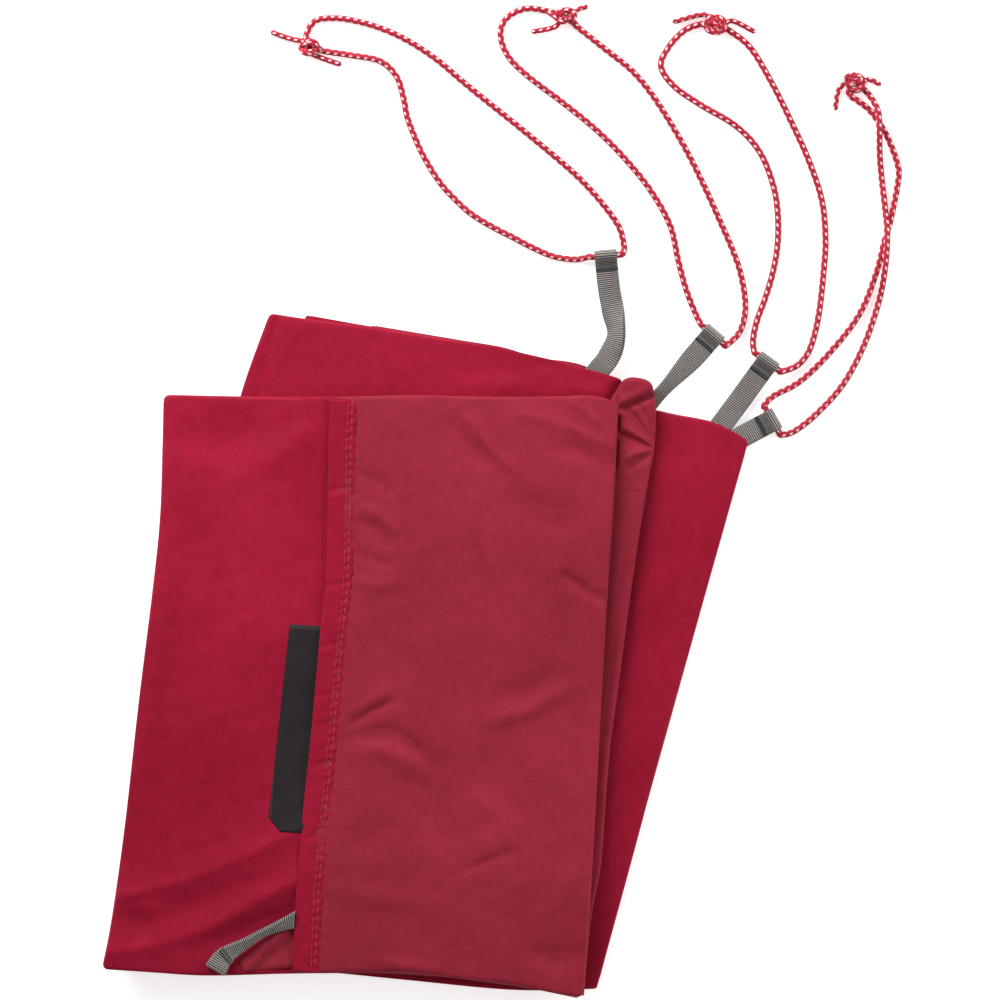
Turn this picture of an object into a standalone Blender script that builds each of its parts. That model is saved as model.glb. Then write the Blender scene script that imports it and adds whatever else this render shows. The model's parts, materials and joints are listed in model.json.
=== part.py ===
"""A tent footprint (groundsheet) of coated polyester, folded flat for storage.

The sheet is folded into layers that fan out around one lower corner. A turned-over flap with a
stitched hem lies on top. Five webbing straps come out of the folds, and four of them carry a loop
of accessory cord tied with a knot. +X runs across the packet, +Y away from the bottom crease, +Z up
from the ground. Lengths are in millimetres until MM turns them into metres.
"""

import math

import bmesh
import bpy
from mathutils import Vector

MM = 0.001

# Folded size of the sheet, and how far its two packets are turned clockwise about their shared corner.
FOLD_WIDTH = 202.0
FOLD_DEPTH = 250.0
UPPER_CORNER = Vector((58.5, -157.5))
UPPER_TURN = 3.4
LOWER_CORNER = Vector((64.6, -155.5))
LOWER_TURN = 15.4
LOWER_EXTRA_WIDTH = 9.5  # the lower packet was folded a little wider

# Clearance between pieces that touch.
CLEAR = 0.3

# Thickness of each group of cloth layers, from the ground up.
GROUND_PANEL = 1.2
LOWER_LAYERS = 2.7
INNER_FOLD = 0.9
LOWER_TOP_PANEL = 1.2
MIDDLE_LAYERS = 1.8
BACK_PANEL = 0.8
UPPER_LAYERS = 1.0
FACE_PANEL = 1.0
PATCH = 0.3
CORNER_CLOTH = 0.5
FLAP_PANEL = 0.8
HEM = 0.6
THREAD = 0.3

# Flap, hem and patch.
FLAP_WIDTH = 120.0
HEM_WIDTH = 11.0
THREAD_INSET = 1.6
THREAD_PITCH = 1.7
PATCH_HEIGHT = 87.0
PATCH_BOTTOM = 62.3

# The bunched corner of the middle layers.
BUNCH_WIDTH = 15.4
BUNCH_DEPTH = 36.0
BUNCH_LOFT = 1.4  # how far it stands above the middle layers
BUNCH_GAP = 1.2  # from the flap's crease

# Webbing and cord.
WEBBING_WIDTH = 9.4
WEBBING = 0.9
CORD = 2.7
BARTACK_FROM_TIP = 8.0
BARTACK_WIDTH = 1.8
BARTACK_HEIGHT = 0.5
PLAIN_EYE = 0.6  # radius of the eye in the strap that carries no cord
KNOT_SIZE = (4.6, 3.6, 2.9)
KNOT_TAIL = 2.5
KNOT_GAP = 0.4  # from the knot's side to each end of the cord's loop
CORD_FLOOR = 0.15 # the cord's underside lies this far above the ground
STRAP_FLOOR = 0.05  # and each strap's tip this far
CREASE_OUT = 1.0  # the packet's fold line lies this far outside its bottom edge

EYE = CORD / 2 + CLEAR
STRAP_THICK = 2 * WEBBING + CLEAR


def stack(*layers):
    """Underside of each layer in a stack of (name, thickness), one clearance apart."""
    bottoms, z = {}, 0.0
    for name, thickness in layers:
        bottoms[name] = z
        z += thickness + CLEAR
    return bottoms


BOTTOM = stack(
    ("ground_panel", GROUND_PANEL),
    ("lower_layers", LOWER_LAYERS),
    ("inner_fold_a", INNER_FOLD),
    ("inner_fold_b", INNER_FOLD),
    ("lower_top_panel", LOWER_TOP_PANEL),
    ("middle_layers", MIDDLE_LAYERS),
    ("back_panel", BACK_PANEL),
    ("upper_layers", UPPER_LAYERS),
    ("face_panel", FACE_PANEL),
    ("patch", PATCH),
    ("flap_panel", FLAP_PANEL),
    ("flap_hem", HEM),
    ("hem_thread", THREAD),
)
PACKET_CREASE_Z = BOTTOM["back_panel"] - CLEAR / 2
FLAP_CREASE_Z = BOTTOM["flap_panel"] - CLEAR / 2


class Packet:
    """Places points of one folded packet: x runs left (negative) from its right edge, y up from its corner."""

    def __init__(self, corner, turn, width):
        self.corner, self.width = corner, width
        self.across = Vector((math.cos(math.radians(turn)), -math.sin(math.radians(turn))))
        self.up = Vector((-self.across.y, self.across.x))

    def at(self, x, y):
        return self.corner + x * self.across + y * self.up

    def turned(self, x, y):
        return x * self.across + y * self.up


UPPER = Packet(UPPER_CORNER, UPPER_TURN, FOLD_WIDTH)
LOWER = Packet(LOWER_CORNER, LOWER_TURN, FOLD_WIDTH + LOWER_EXTRA_WIDTH)


# ---------------------------------------------------------------- scene and materials

for old in list(bpy.data.objects):
    bpy.data.objects.remove(old, do_unlink=True)

parts = bpy.data.collections.new("tent_footprint")
cutters = bpy.data.collections.new("cutters")
bpy.context.scene.collection.children.link(parts)
bpy.context.scene.collection.children.link(cutters)


def material(name, colour, roughness):
    made = bpy.data.materials.new(name)
    made.use_nodes = True
    shader = made.node_tree.nodes["Principled BSDF"]
    shader.inputs["Base Color"].default_value = (*colour, 1.0)
    shader.inputs["Roughness"].default_value = roughness
    shader.inputs["Metallic"].default_value = 0.0
    made.diffuse_color = (*colour, 1.0)
    return made


FACE_CLOTH = material("face_cloth", (0.36, 0.016, 0.038), 0.45)
BACK_CLOTH = material("back_cloth", (0.33, 0.030, 0.050), 0.70)
WEBBING_CLOTH = material("webbing", (0.17, 0.165, 0.155), 0.85)
BARTACK_THREAD = material("bartack_thread", (0.03, 0.03, 0.03), 0.80)
CORD_CLOTH = material("cord", (0.62, 0.03, 0.05), 0.70)
PATCH_PRINT = material("patch_print", (0.028, 0.024, 0.026), 0.50)
SEWING_THREAD = material("sewing_thread", (0.34, 0.012, 0.030), 0.60)


def finish(obj, finish_material, pivot=None):
    """Gives an object its material, collection and the empty it turns about."""
    obj.data.materials.append(finish_material)
    if obj.name not in parts.objects:
        parts.objects.link(obj)
    if pivot is not None:
        obj.parent = pivot
        obj.matrix_parent_inverse = pivot.matrix_world.inverted()
    return obj


def pivot_at(name, point, parent=None):
    """An empty on a joint's axis, which carries the pieces that move with it."""
    empty = bpy.data.objects.new(name, None)
    empty.empty_display_size = 0.01
    parts.objects.link(empty)
    empty.location = point * MM
    bpy.context.view_layer.update()
    if parent is not None:
        empty.parent = parent
        empty.matrix_parent_inverse = parent.matrix_world.inverted()
        bpy.context.view_layer.update()
    return empty


# ---------------------------------------------------------------- outlines and slabs

ARC_STEP = 18.0  # degrees of an arc to each straight stretch


def filleted(corners):
    """A closed outline through (point, radius) corners, each rounded by an arc of its radius."""
    outline = []
    count = len(corners)
    for i, (point, radius) in enumerate(corners):
        before = corners[i - 1][0] - point
        after = corners[(i + 1) % count][0] - point
        reach = 0.45 * min(before.length, after.length)
        before.normalize()
        after.normalize()
        half = before.angle(after) / 2
        radius = min(radius, reach * math.tan(half))
        if radius < 0.05 or half > math.radians(89.5):
            outline.append(point)
            continue
        centre = point + (before + after).normalized() * radius / math.sin(half)
        first = point + before * radius / math.tan(half) - centre
        last = point + after * radius / math.tan(half) - centre
        steps = max(1, round((180 - 2 * math.degrees(half)) / ARC_STEP))
        for k in range(steps + 1):
            outline.append(centre + radius * first.lerp(last, k / steps).normalized())
    return outline


def slab(name, corners, bottom, thickness, cloth, pivot=None, edge=0.25):
    """A flat group of cloth layers: a filled 2D outline with softened edges."""
    data = bpy.data.curves.new(name, "CURVE")
    data.dimensions = "2D"
    data.fill_mode = "BOTH"
    data.bevel_depth = edge * MM
    data.bevel_resolution = 0 if edge < 0.5 else 1
    data.offset = -edge * MM
    data.extrude = (thickness / 2 - edge) * MM
    outline = filleted(corners)
    spline = data.splines.new("POLY")
    spline.points.add(len(outline) - 1)
    for spot, point in zip(spline.points, outline):
        spot.co = (point.x * MM, point.y * MM, 0, 1)
    spline.use_cyclic_u = True
    obj = bpy.data.objects.new(name, data)
    obj.location.z = (bottom + thickness / 2) * MM
    parts.objects.link(obj)
    bpy.context.view_layer.update()
    return finish(obj, cloth, pivot)


def upper_outline(inset=0.0):
    """Outline of the upper packet, its edges drawn in by inset."""
    width, depth = UPPER.width, FOLD_DEPTH
    return [
        (UPPER.at(-inset, inset), 2.0),
        (UPPER.at(-inset, depth - inset), 3.0),
        (UPPER.at(-0.25 * width, depth - 1.2 - inset), 90.0),
        (UPPER.at(-0.60 * width, depth - 4.6 - inset), 90.0),
        (UPPER.at(-width + 12.0 + inset, depth - 8.0 - inset), 7.0),
        (UPPER.at(-width + 12.6 + inset, 0.74 * depth), 150.0),
        (UPPER.at(-width + 8.6 + inset, 0.45 * depth), 150.0),
        (UPPER.at(-width + inset, inset), 3.0),
        (UPPER.at(-0.78 * width, inset), 60.0),
        (UPPER.at(-0.59 * width, 3.4 + inset), 60.0),
        (UPPER.at(-0.38 * width, 5.6 + inset), 90.0),
        (UPPER.at(-0.18 * width, 4.6 + inset), 60.0),
    ]


# ---------------------------------------------------------------- lower packet

def lower_left_edge(inset, low, high):
    """Left edge of the lower packet, which keeps inside the upper packet's soft left fold."""
    return [
        (UPPER.at(-UPPER.width + inset, low), 6.0),
        (UPPER.at(-UPPER.width + 5.0 + inset, 0.18 * FOLD_DEPTH), 90.0),
        (LOWER.at(-LOWER.width + inset, 0.38 * FOLD_DEPTH), 90.0),
        (LOWER.at(-LOWER.width + inset, high), 9.0),
    ]


def ground_outline(inset):
    """Outline of the bottom layers, whose right and top edges show past the packets above."""
    depth = FOLD_DEPTH
    return [
        (UPPER.at(2.0 - inset, 1.0 + inset), 4.0),
        (LOWER.at(-inset, 2.0 + inset), 5.0),
        (LOWER.at(-0.9 - inset, 0.50 * depth), 200.0),
        (LOWER.at(0.3 - inset, depth - 11.2 - inset), 2.2),
        (LOWER.at(-6.2 - inset, depth - 7.4 - inset), 2.2),
        (LOWER.at(-19.0, depth - 6.3 - inset), 30.0),
        (LOWER.at(-41.0, depth - 7.7 - inset), 60.0),
        *reversed(lower_left_edge(2.0 + inset, 3.0 + inset, depth - 20.0)),
        (UPPER.at(-0.38 * UPPER.width, 2.4 + inset), 90.0),
    ]


slab("ground_panel", ground_outline(0.0), BOTTOM["ground_panel"], GROUND_PANEL, FACE_CLOTH)
slab("lower_layers", ground_outline(0.6), BOTTOM["lower_layers"], LOWER_LAYERS, FACE_CLOTH, edge=0.9)


def lower_top_outline(inset, top_edge):
    """Outline of the upper layers of the lower packet, given its top edge from right to left."""
    return [
        (UPPER.at(-6.0, 8.0), 6.0),
        (UPPER.at(-1.0, FOLD_DEPTH - BUNCH_DEPTH + 8.0), 6.0),
        *top_edge,
        *reversed(lower_left_edge(2.6 + inset, 10.0, FOLD_DEPTH - 17.0)[:-1]),
    ]


# The layers inside peek out a millimetre or two past the top edge of the panel that covers them.
slab(
    "inner_fold_a",
    lower_top_outline(
        0.6,
        [
            (UPPER.at(-3.0, FOLD_DEPTH + 8.2), 2.0),
            (LOWER.at(-0.47 * LOWER.width, FOLD_DEPTH - 0.4), 60.0),
            (LOWER.at(-0.54 * LOWER.width, FOLD_DEPTH + 1.2), 30.0),
            (LOWER.at(-0.60 * LOWER.width, FOLD_DEPTH - 0.6), 90.0),
            (LOWER.at(-0.80 * LOWER.width, FOLD_DEPTH - 4.9), 2.0),
            (LOWER.at(-0.81 * LOWER.width, FOLD_DEPTH - 30.0), 30.0),
        ],
    ),
    BOTTOM["inner_fold_a"],
    INNER_FOLD,
    BACK_CLOTH,
)
slab(
    "inner_fold_b",
    lower_top_outline(
        0.4,
        [
            (UPPER.at(-2.0, FOLD_DEPTH + 8.8), 2.0),
            (LOWER.at(-0.53 * LOWER.width, FOLD_DEPTH - 0.4), 120.0),
            (LOWER.at(-0.82 * LOWER.width, FOLD_DEPTH - 6.6), 60.0),
            (LOWER.at(-LOWER.width + 16.0, FOLD_DEPTH - 7.8), 1.2),
            (LOWER.at(-LOWER.width + 14.0, FOLD_DEPTH - 30.0), 30.0),
        ],
    ),
    BOTTOM["inner_fold_b"],
    INNER_FOLD,
    FACE_CLOTH,
)
slab(
    "lower_top_panel",
    lower_top_outline(
        0.0,
        [
            (UPPER.at(0.6, FOLD_DEPTH + 9.4), 2.0),
            (UPPER.at(-5.93, FOLD_DEPTH + 11.7), 60.0),
            (LOWER.at(-0.53 * LOWER.width, FOLD_DEPTH + 0.2), 120.0),
            (LOWER.at(-0.82 * LOWER.width, FOLD_DEPTH - 6.8), 60.0),
            (LOWER.at(-LOWER.width + 0.8, FOLD_DEPTH - 11.0), 6.5),
        ],
    ),
    BOTTOM["lower_top_panel"],
    LOWER_TOP_PANEL,
    FACE_CLOTH,
)

BUNCH_FOOT = FOLD_DEPTH + 10.6 - BUNCH_DEPTH  # lower end of the bunched corner, up the crease
slab(
    "middle_layers",
    [
        (UPPER.at(0.2, 0.6), 2.0),
        (UPPER.at(3.2, 0.19 * FOLD_DEPTH), 60.0),
        (UPPER.at(6.8, 0.50 * FOLD_DEPTH), 90.0),
        (UPPER.at(14.0, BUNCH_FOOT - CLEAR), 4.0),
        (UPPER.at(0.5, BUNCH_FOOT - CLEAR), 1.0),
        (UPPER.at(0.5, FOLD_DEPTH - 4.0), 3.0),
        (UPPER.at(-0.6 * UPPER.width, FOLD_DEPTH - 10.0), 60.0),
        (UPPER.at(-UPPER.width + 18.0, FOLD_DEPTH - 14.0), 8.0),
        (UPPER.at(-UPPER.width + 14.0, 0.45 * FOLD_DEPTH), 90.0),
        (UPPER.at(-UPPER.width + 5.0, 4.0), 6.0),
        (UPPER.at(-0.59 * UPPER.width, 5.0), 60.0),
        (UPPER.at(-0.38 * UPPER.width, 6.4), 60.0),
    ],
    BOTTOM["middle_layers"],
    MIDDLE_LAYERS,
    BACK_CLOTH,
    edge=0.6,
)


def bunched_corner():
    """The middle layers' top corner, bunched into a soft roll that stands beside the flap's crease."""
    low = BOTTOM["inner_fold_a"]
    high = BOTTOM["middle_layers"] + MIDDLE_LAYERS + BUNCH_LOFT
    mesh = bpy.data.meshes.new("gathered_corner")
    shape = bmesh.new()
    bmesh.ops.create_cube(shape, size=1.0)
    bmesh.ops.subdivide_edges(shape, edges=shape.edges, cuts=4, use_grid_fill=True)
    for vertex in shape.verts:
        u, v, w = vertex.co.x + 0.5, vertex.co.y + 0.5, vertex.co.z + 0.5
        wide = BUNCH_WIDTH * (0.72 + 0.28 * math.sin(math.pi * min(0.5, v)))
        crease = 0.5 + 0.5 * math.cos(2 * math.pi * (2.2 * v + 0.6 * u))
        top = high - (1.2 * crease + 1.4 * abs(2 * u - 1) ** 3) * w
        z = low + (top - low) * w
        spot = UPPER.at(BUNCH_GAP + wide * u, BUNCH_FOOT + BUNCH_DEPTH * v)
        vertex.co = Vector((spot.x, spot.y, z)) * MM
    bmesh.ops.recalc_face_normals(shape, faces=shape.faces)
    shape.to_mesh(mesh)
    shape.free()
    obj = bpy.data.objects.new("gathered_corner", mesh)
    soften = obj.modifiers.new("soften", "SUBSURF")
    soften.levels = soften.render_levels = 1
    mesh.shade_smooth()
    return finish(obj, BACK_CLOTH)


bunched_corner()

# ---------------------------------------------------------------- upper packet

packet_axis = UPPER.at(-UPPER.width / 2, -CREASE_OUT)
packet_pivot = pivot_at("packet_fold", Vector((*packet_axis, PACKET_CREASE_Z)))

slab("back_panel", upper_outline(0.8), BOTTOM["back_panel"], BACK_PANEL, FACE_CLOTH, packet_pivot)
slab("upper_layers", upper_outline(1.2), BOTTOM["upper_layers"], UPPER_LAYERS, BACK_CLOTH, packet_pivot)
slab("face_panel", upper_outline(0.0), BOTTOM["face_panel"], FACE_PANEL, FACE_CLOTH, packet_pivot)
slab(
    "printed_patch",
    [
        (UPPER.at(-FLAP_WIDTH - 11.9, PATCH_BOTTOM + PATCH_HEIGHT), 1.0),
        (UPPER.at(-FLAP_WIDTH - 15.7, PATCH_BOTTOM + 5.6), 1.0),
        (UPPER.at(-FLAP_WIDTH - 10.3, PATCH_BOTTOM), 1.0),
        (UPPER.at(-FLAP_WIDTH + 15.0, PATCH_BOTTOM + 0.4), 1.0),
        (UPPER.at(-FLAP_WIDTH + 19.0, PATCH_BOTTOM + PATCH_HEIGHT), 1.0),
    ],
    BOTTOM["patch"],
    PATCH,
    PATCH_PRINT,
    packet_pivot,
    edge=0.05,
)
slab(
    "tie_out_corner",
    [
        (UPPER.at(-FLAP_WIDTH - 25.8, 7.5), 0.6),
        (UPPER.at(-FLAP_WIDTH - 22.2, 2.8), 0.6),
        (UPPER.at(-FLAP_WIDTH + 6.9, 6.5), 0.6),
        (UPPER.at(-FLAP_WIDTH + 6.9, 24.0), 0.6),
        (UPPER.at(-FLAP_WIDTH - 11.7, 20.6), 0.6),
    ],
    BOTTOM["patch"],
    CORNER_CLOTH,
    BACK_CLOTH,
    packet_pivot,
    edge=0.1,
)

# ---------------------------------------------------------------- flap, hem and its threads

flap_axis = UPPER.at(CLEAR, FOLD_DEPTH / 2)
flap_pivot = pivot_at("flap_fold", Vector((*flap_axis, FLAP_CREASE_Z)), packet_pivot)


def hem_line(offset):
    """Points down the flap's free edge, offset inwards from it, from the top to the bottom."""
    return [
        UPPER.at(-FLAP_WIDTH - 0.6 + offset, FOLD_DEPTH - 4.8),
        UPPER.at(-FLAP_WIDTH + 2.0 + offset, 0.68 * FOLD_DEPTH),
        UPPER.at(-FLAP_WIDTH + 0.8 + offset, 0.57 * FOLD_DEPTH),
        UPPER.at(-FLAP_WIDTH - 2.0 + offset, 0.25 * FOLD_DEPTH),
        UPPER.at(-FLAP_WIDTH - 2.4 + offset, 0.06 * FOLD_DEPTH),
        UPPER.at(-FLAP_WIDTH - 2.0 + offset, 3.6),
    ]


def flap_outline(inset):
    free_edge = [(point, 60.0) for point in hem_line(inset)]
    free_edge[0] = (free_edge[0][0], 1.5)
    free_edge[-1] = (free_edge[-1][0], 1.5)
    return [
        (UPPER.at(0.0, 0.2), 2.0),
        (UPPER.at(0.0, FOLD_DEPTH), 3.0),
        (UPPER.at(-0.25 * UPPER.width, FOLD_DEPTH - 1.2), 90.0),
        *free_edge,
        (UPPER.at(-0.38 * UPPER.width, 5.8), 90.0),
        (UPPER.at(-0.18 * UPPER.width, 4.8), 60.0),
    ]


slab("flap_panel", flap_outline(0.3), BOTTOM["flap_panel"], FLAP_PANEL, BACK_CLOTH, flap_pivot)

hem_corners = [(point, 60.0) for point in hem_line(0.0)]
hem_corners += [(point, 60.0) for point in reversed(hem_line(HEM_WIDTH))]
for end in (0, len(hem_corners) // 2 - 1, len(hem_corners) // 2, -1):
    hem_corners[end] = (hem_corners[end][0], 0.8)
slab("flap_hem", hem_corners, BOTTOM["flap_hem"], HEM, FACE_CLOTH, flap_pivot, edge=0.15)


def tube(name, points, diameter, cloth, pivot=None):
    """A round thread or cord with closed ends, along a chain of points."""
    data = bpy.data.curves.new(name, "CURVE")
    data.dimensions = "3D"
    data.bevel_depth = diameter / 2 * MM
    data.bevel_resolution = 2
    data.use_fill_caps = True
    spline = data.splines.new("POLY")
    spline.points.add(len(points) - 1)
    for spot, point in zip(spline.points, points):
        spot.co = (*(point * MM), 1)
    obj = bpy.data.objects.new(name, data)
    parts.objects.link(obj)
    return finish(obj, cloth, pivot)


for row, inset in (("outer", THREAD_INSET + THREAD_PITCH), ("inner", THREAD_INSET)):
    line = hem_line(HEM_WIDTH - inset)
    line[0] -= UPPER.turned(0.0, 1.0)
    line[-1] += UPPER.turned(0.0, 1.0)
    height = BOTTOM["hem_thread"] + THREAD / 2
    tube(
        f"hem_thread_{row}",
        [Vector((*point, height)) for point in line],
        THREAD,
        SEWING_THREAD,
        flap_pivot,
    )

# ---------------------------------------------------------------- smooth routes

def smooth(points, samples=12):
    """A smooth curve (Catmull-Rom) through the points, sampled closely."""
    padded = [2 * points[0] - points[1], *points, 2 * points[-1] - points[-2]]
    route = []
    for a, b, c, d in zip(padded, padded[1:], padded[2:], padded[3:]):
        for k in range(samples):
            t = k / samples
            route.append(
                0.5 * (2 * b + t * (c - a) + t**2 * (2 * a - 5 * b + 4 * c - d) + t**3 * (3 * b - a - 3 * c + d))
            )
    return [*route, points[-1]]


def lengths_along(route):
    """Distance from the start to each point of a route."""
    total, out = 0.0, [0.0]
    for a, b in zip(route, route[1:]):
        total += (b - a).length
        out.append(total)
    return out


def point_along(route, marks, distance):
    """The point and direction at a distance along a route."""
    for i in range(len(route) - 1):
        if distance <= marks[i + 1] or i == len(route) - 2:
            share = (distance - marks[i]) / (marks[i + 1] - marks[i])
            return route[i].lerp(route[i + 1], share), (route[i + 1] - route[i]).normalized()
    return route[-1], (route[-1] - route[-2]).normalized()


# ---------------------------------------------------------------- straps

UP = Vector((0.0, 0.0, 1.0))


class Strap:
    """A tab of webbing doubled into an eye at its tip.

    root is where it leaves the folds and edge the direction of the fold's edge there, which it lifts
    about unless lift_axis is given. path gives the middle of the tab as offsets from the root. bases
    is the height of its underside at the root and at the tip, with drop the share of its length over
    which it comes down. twist is its largest turn about its own length, in degrees, twist_at where
    that is and twist_span how far it reaches. pinch is how much of its width the twist takes away.
    hinge_ahead moves the lifting line out along the strap from its root.
    """

    def __init__(self, number, root, edge, path, bases, drop, twist=0.0, twist_at=0.5,
                 twist_span=0.3, pinch=0.0, eye=EYE, parent=None, lift_axis=None, hinge_ahead=0.0):
        self.number, self.root, self.edge, self.eye = number, root, edge.normalized(), eye
        self.route = smooth([Vector((*(root + Vector(step)), 0.0)) for step in path])
        self.marks = lengths_along(self.route)
        self.length = self.marks[-1]
        self.bases, self.drop = bases, drop
        self.twist, self.twist_at, self.twist_span, self.pinch = twist, twist_at, twist_span, pinch
        self.parent = parent
        self.eye_from_tip = eye + WEBBING
        self.end_edge = Vector((*self.edge, 0.0))
        self.hinge_axis = self.end_edge if lift_axis is None else Vector((*lift_axis.normalized(), 0.0))
        centre, along, wide, normal = self.frame(0.0)
        self.hinge = centre + along * hinge_ahead + UP * (abs(wide.z) + normal.z * STRAP_THICK / 2)

    def shape_share(self, s):
        """How fully the twist acts at a distance along the strap, from 0 to 1."""
        away = abs(s / self.length - self.twist_at) / self.twist_span
        return 0.0 if away >= 1.0 else 0.5 + 0.5 * math.cos(math.pi * away)

    def frame(self, s):
        """Middle of both layers, direction along, direction across and outward normal at s."""
        centre, along = point_along(self.route, self.marks, s)
        fall = min(1.0, s / (self.drop * self.length))
        fall = fall * fall * (3 - 2 * fall)
        base = self.bases[0] + (self.bases[1] - self.bases[0]) * fall
        share = self.shape_share(s)
        turn = math.radians(self.twist) * share
        across = Vector((along.y, -along.x, 0.0))
        mitre = max(0.0, 1.0 - s / (0.6 * WEBBING_WIDTH))
        width = WEBBING_WIDTH * (1 - self.pinch * share)
        if mitre > 0.0:
            skewed = self.end_edge / self.end_edge.dot(across)
            across = across.lerp(skewed, mitre)
        half = across * width / 2
        wide = half * math.cos(turn) + UP * (half.length * math.sin(turn))
        normal = UP * math.cos(turn) - half.normalized() * math.sin(turn)
        centre.z = base + STRAP_THICK / 2 * math.cos(turn) + half.length * abs(math.sin(turn))
        return centre, along, wide, normal

    def eye_centre(self):
        centre, along, _, _ = self.frame(self.length - self.eye_from_tip)
        return Vector((centre.x, centre.y, self.bases[1] + self.eye + WEBBING)), along

    def stations(self):
        """The doubled ribbon, as (distance along, height over the underside) from root to root."""
        eye_s = self.length - self.eye_from_tip
        ring = self.eye + WEBBING / 2
        low, high = WEBBING / 2, STRAP_THICK - WEBBING / 2
        tack_s = self.length - BARTACK_FROM_TIP
        count = max(4, round(tack_s / 2.5))
        lower = [(tack_s * k / count, low) for k in range(count + 1)]
        lower += [(tack_s + (eye_s - tack_s) * 0.5, low)]
        turns = 10
        around = [
            (eye_s + ring * math.sin(math.pi * k / turns), low + ring * (1 - math.cos(math.pi * k / turns)))
            for k in range(turns + 1)
        ]
        top = low + 2 * ring
        slope = []
        for k in range(1, 5):
            t = k / 5
            ease = t * t * (3 - 2 * t)
            slope.append((eye_s + (tack_s + 1.2 - eye_s) * t, top + (high - top) * ease))
        upper = [(tack_s * k / count, high) for k in range(count, -1, -1)]
        return lower + around + slope + upper

    def build(self):
        name = f"strap_{self.number}"
        self.pivot = pivot_at(f"{name}_hinge", self.hinge, self.parent)
        stations = self.stations()
        columns = 3
        shape = bmesh.new()
        bmesh.ops.create_grid(shape, x_segments=len(stations) - 1, y_segments=columns - 1, size=0.5)
        for vertex in shape.verts:
            s, h = stations[round((vertex.co.x + 0.5) * (len(stations) - 1))]
            flat = min(s, self.length - self.eye_from_tip)
            centre, along, wide, normal = self.frame(flat)
            centre += along * (s - flat)
            across = 2 * vertex.co.y
            spot = centre + wide * across + normal * (h - STRAP_THICK / 2)
            vertex.co = spot * MM
        mesh = bpy.data.meshes.new(name)
        shape.to_mesh(mesh)
        shape.free()
        mesh.shade_smooth()
        obj = bpy.data.objects.new(name, mesh)
        thick = obj.modifiers.new("webbing", "SOLIDIFY")
        thick.thickness = WEBBING * MM
        thick.offset = 0.0
        thick.use_even_offset = True
        finish(obj, WEBBING_CLOTH, self.pivot)
        self.build_bartack()

    def build_bartack(self):
        """Dense stitching across the strap, which closes its eye."""
        centre, along, wide, normal = self.frame(self.length - BARTACK_FROM_TIP)
        middle = centre + normal * (STRAP_THICK / 2 + CLEAR + BARTACK_HEIGHT / 2)
        half = wide * (1 - 0.4 / wide.length)
        mesh = bpy.data.meshes.new(f"bartack_{self.number}")
        shape = bmesh.new()
        bmesh.ops.create_cube(shape, size=1.0)
        for vertex in shape.verts:
            step = vertex.co.x * BARTACK_WIDTH * along - 2 * vertex.co.y * half
            vertex.co = (middle + step + vertex.co.z * BARTACK_HEIGHT * normal) * MM
        shape.to_mesh(mesh)
        shape.free()
        bar = bpy.data.objects.new(mesh.name, mesh)
        soften = bar.modifiers.new("soften", "BEVEL")
        soften.width = 0.12 * MM
        soften.segments = 1
        finish(bar, BARTACK_THREAD, self.pivot)


straps = {
    1: Strap(
        1, LOWER.at(-69.0, FOLD_DEPTH + 1.9), LOWER.across,
        [(0, 0), (4.6, 6.0), (7.7, 15.0), (6.4, 25.0), (4.5, 36.0), (3.1, 51.0)],
        bases=(BOTTOM["inner_fold_a"], STRAP_FLOOR), drop=0.4, twist=45.0, twist_at=0.34, twist_span=0.26,
    ),
    2: Strap(
        2, UPPER.at(BUNCH_GAP + BUNCH_WIDTH + CLEAR, FOLD_DEPTH + 4.4), -UPPER.up,
        [(0, 0), (8.3, 9.0), (16.6, 18.1), (24.6, 27.4)],
        bases=(BOTTOM["lower_layers"], STRAP_FLOOR), drop=0.5,
        twist=-18.0, twist_at=0.05, twist_span=0.6, pinch=0.45, lift_axis=Vector((0.735, -0.678)),
        hinge_ahead=1.2,
    ),
    3: Strap(
        3, LOWER.at(-2.4 - WEBBING_WIDTH - 0.9, FOLD_DEPTH - 5.7), LOWER.across + 0.02 * LOWER.up,
        [(0, 0), (7.0, 9.4), (13.9, 18.9), (20.6, 28.1)],
        bases=(BOTTOM["lower_layers"], STRAP_FLOOR), drop=0.5,
    ),
    4: Strap(
        4, LOWER.at(-2.4, FOLD_DEPTH - 7.9), LOWER.turned(6.9, -3.8),
        [(0, 0), (4.6, 2.5), (9.3, 5.0), (13.9, 7.6)],
        bases=(BOTTOM["lower_layers"], STRAP_FLOOR), drop=0.5,
    ),
    5: Strap(
        5, UPPER.at(-FLAP_WIDTH - 3.2, 25.7), UPPER.up,
        [UPPER.turned(*step) for step in ((0, 0), (-12.4, -6.1), (-19.0, -10.6), (-27.6, -16.6), (-31.5, -23.0))],
        bases=(BOTTOM["patch"] + CORNER_CLOTH + CLEAR,) * 2, drop=0.5,
        twist=35.0, twist_at=0.36, twist_span=0.3, pinch=0.3, eye=PLAIN_EYE, parent=packet_pivot,
    ),
}
for strap in straps.values():
    strap.build()

# ---------------------------------------------------------------- cord loops

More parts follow.
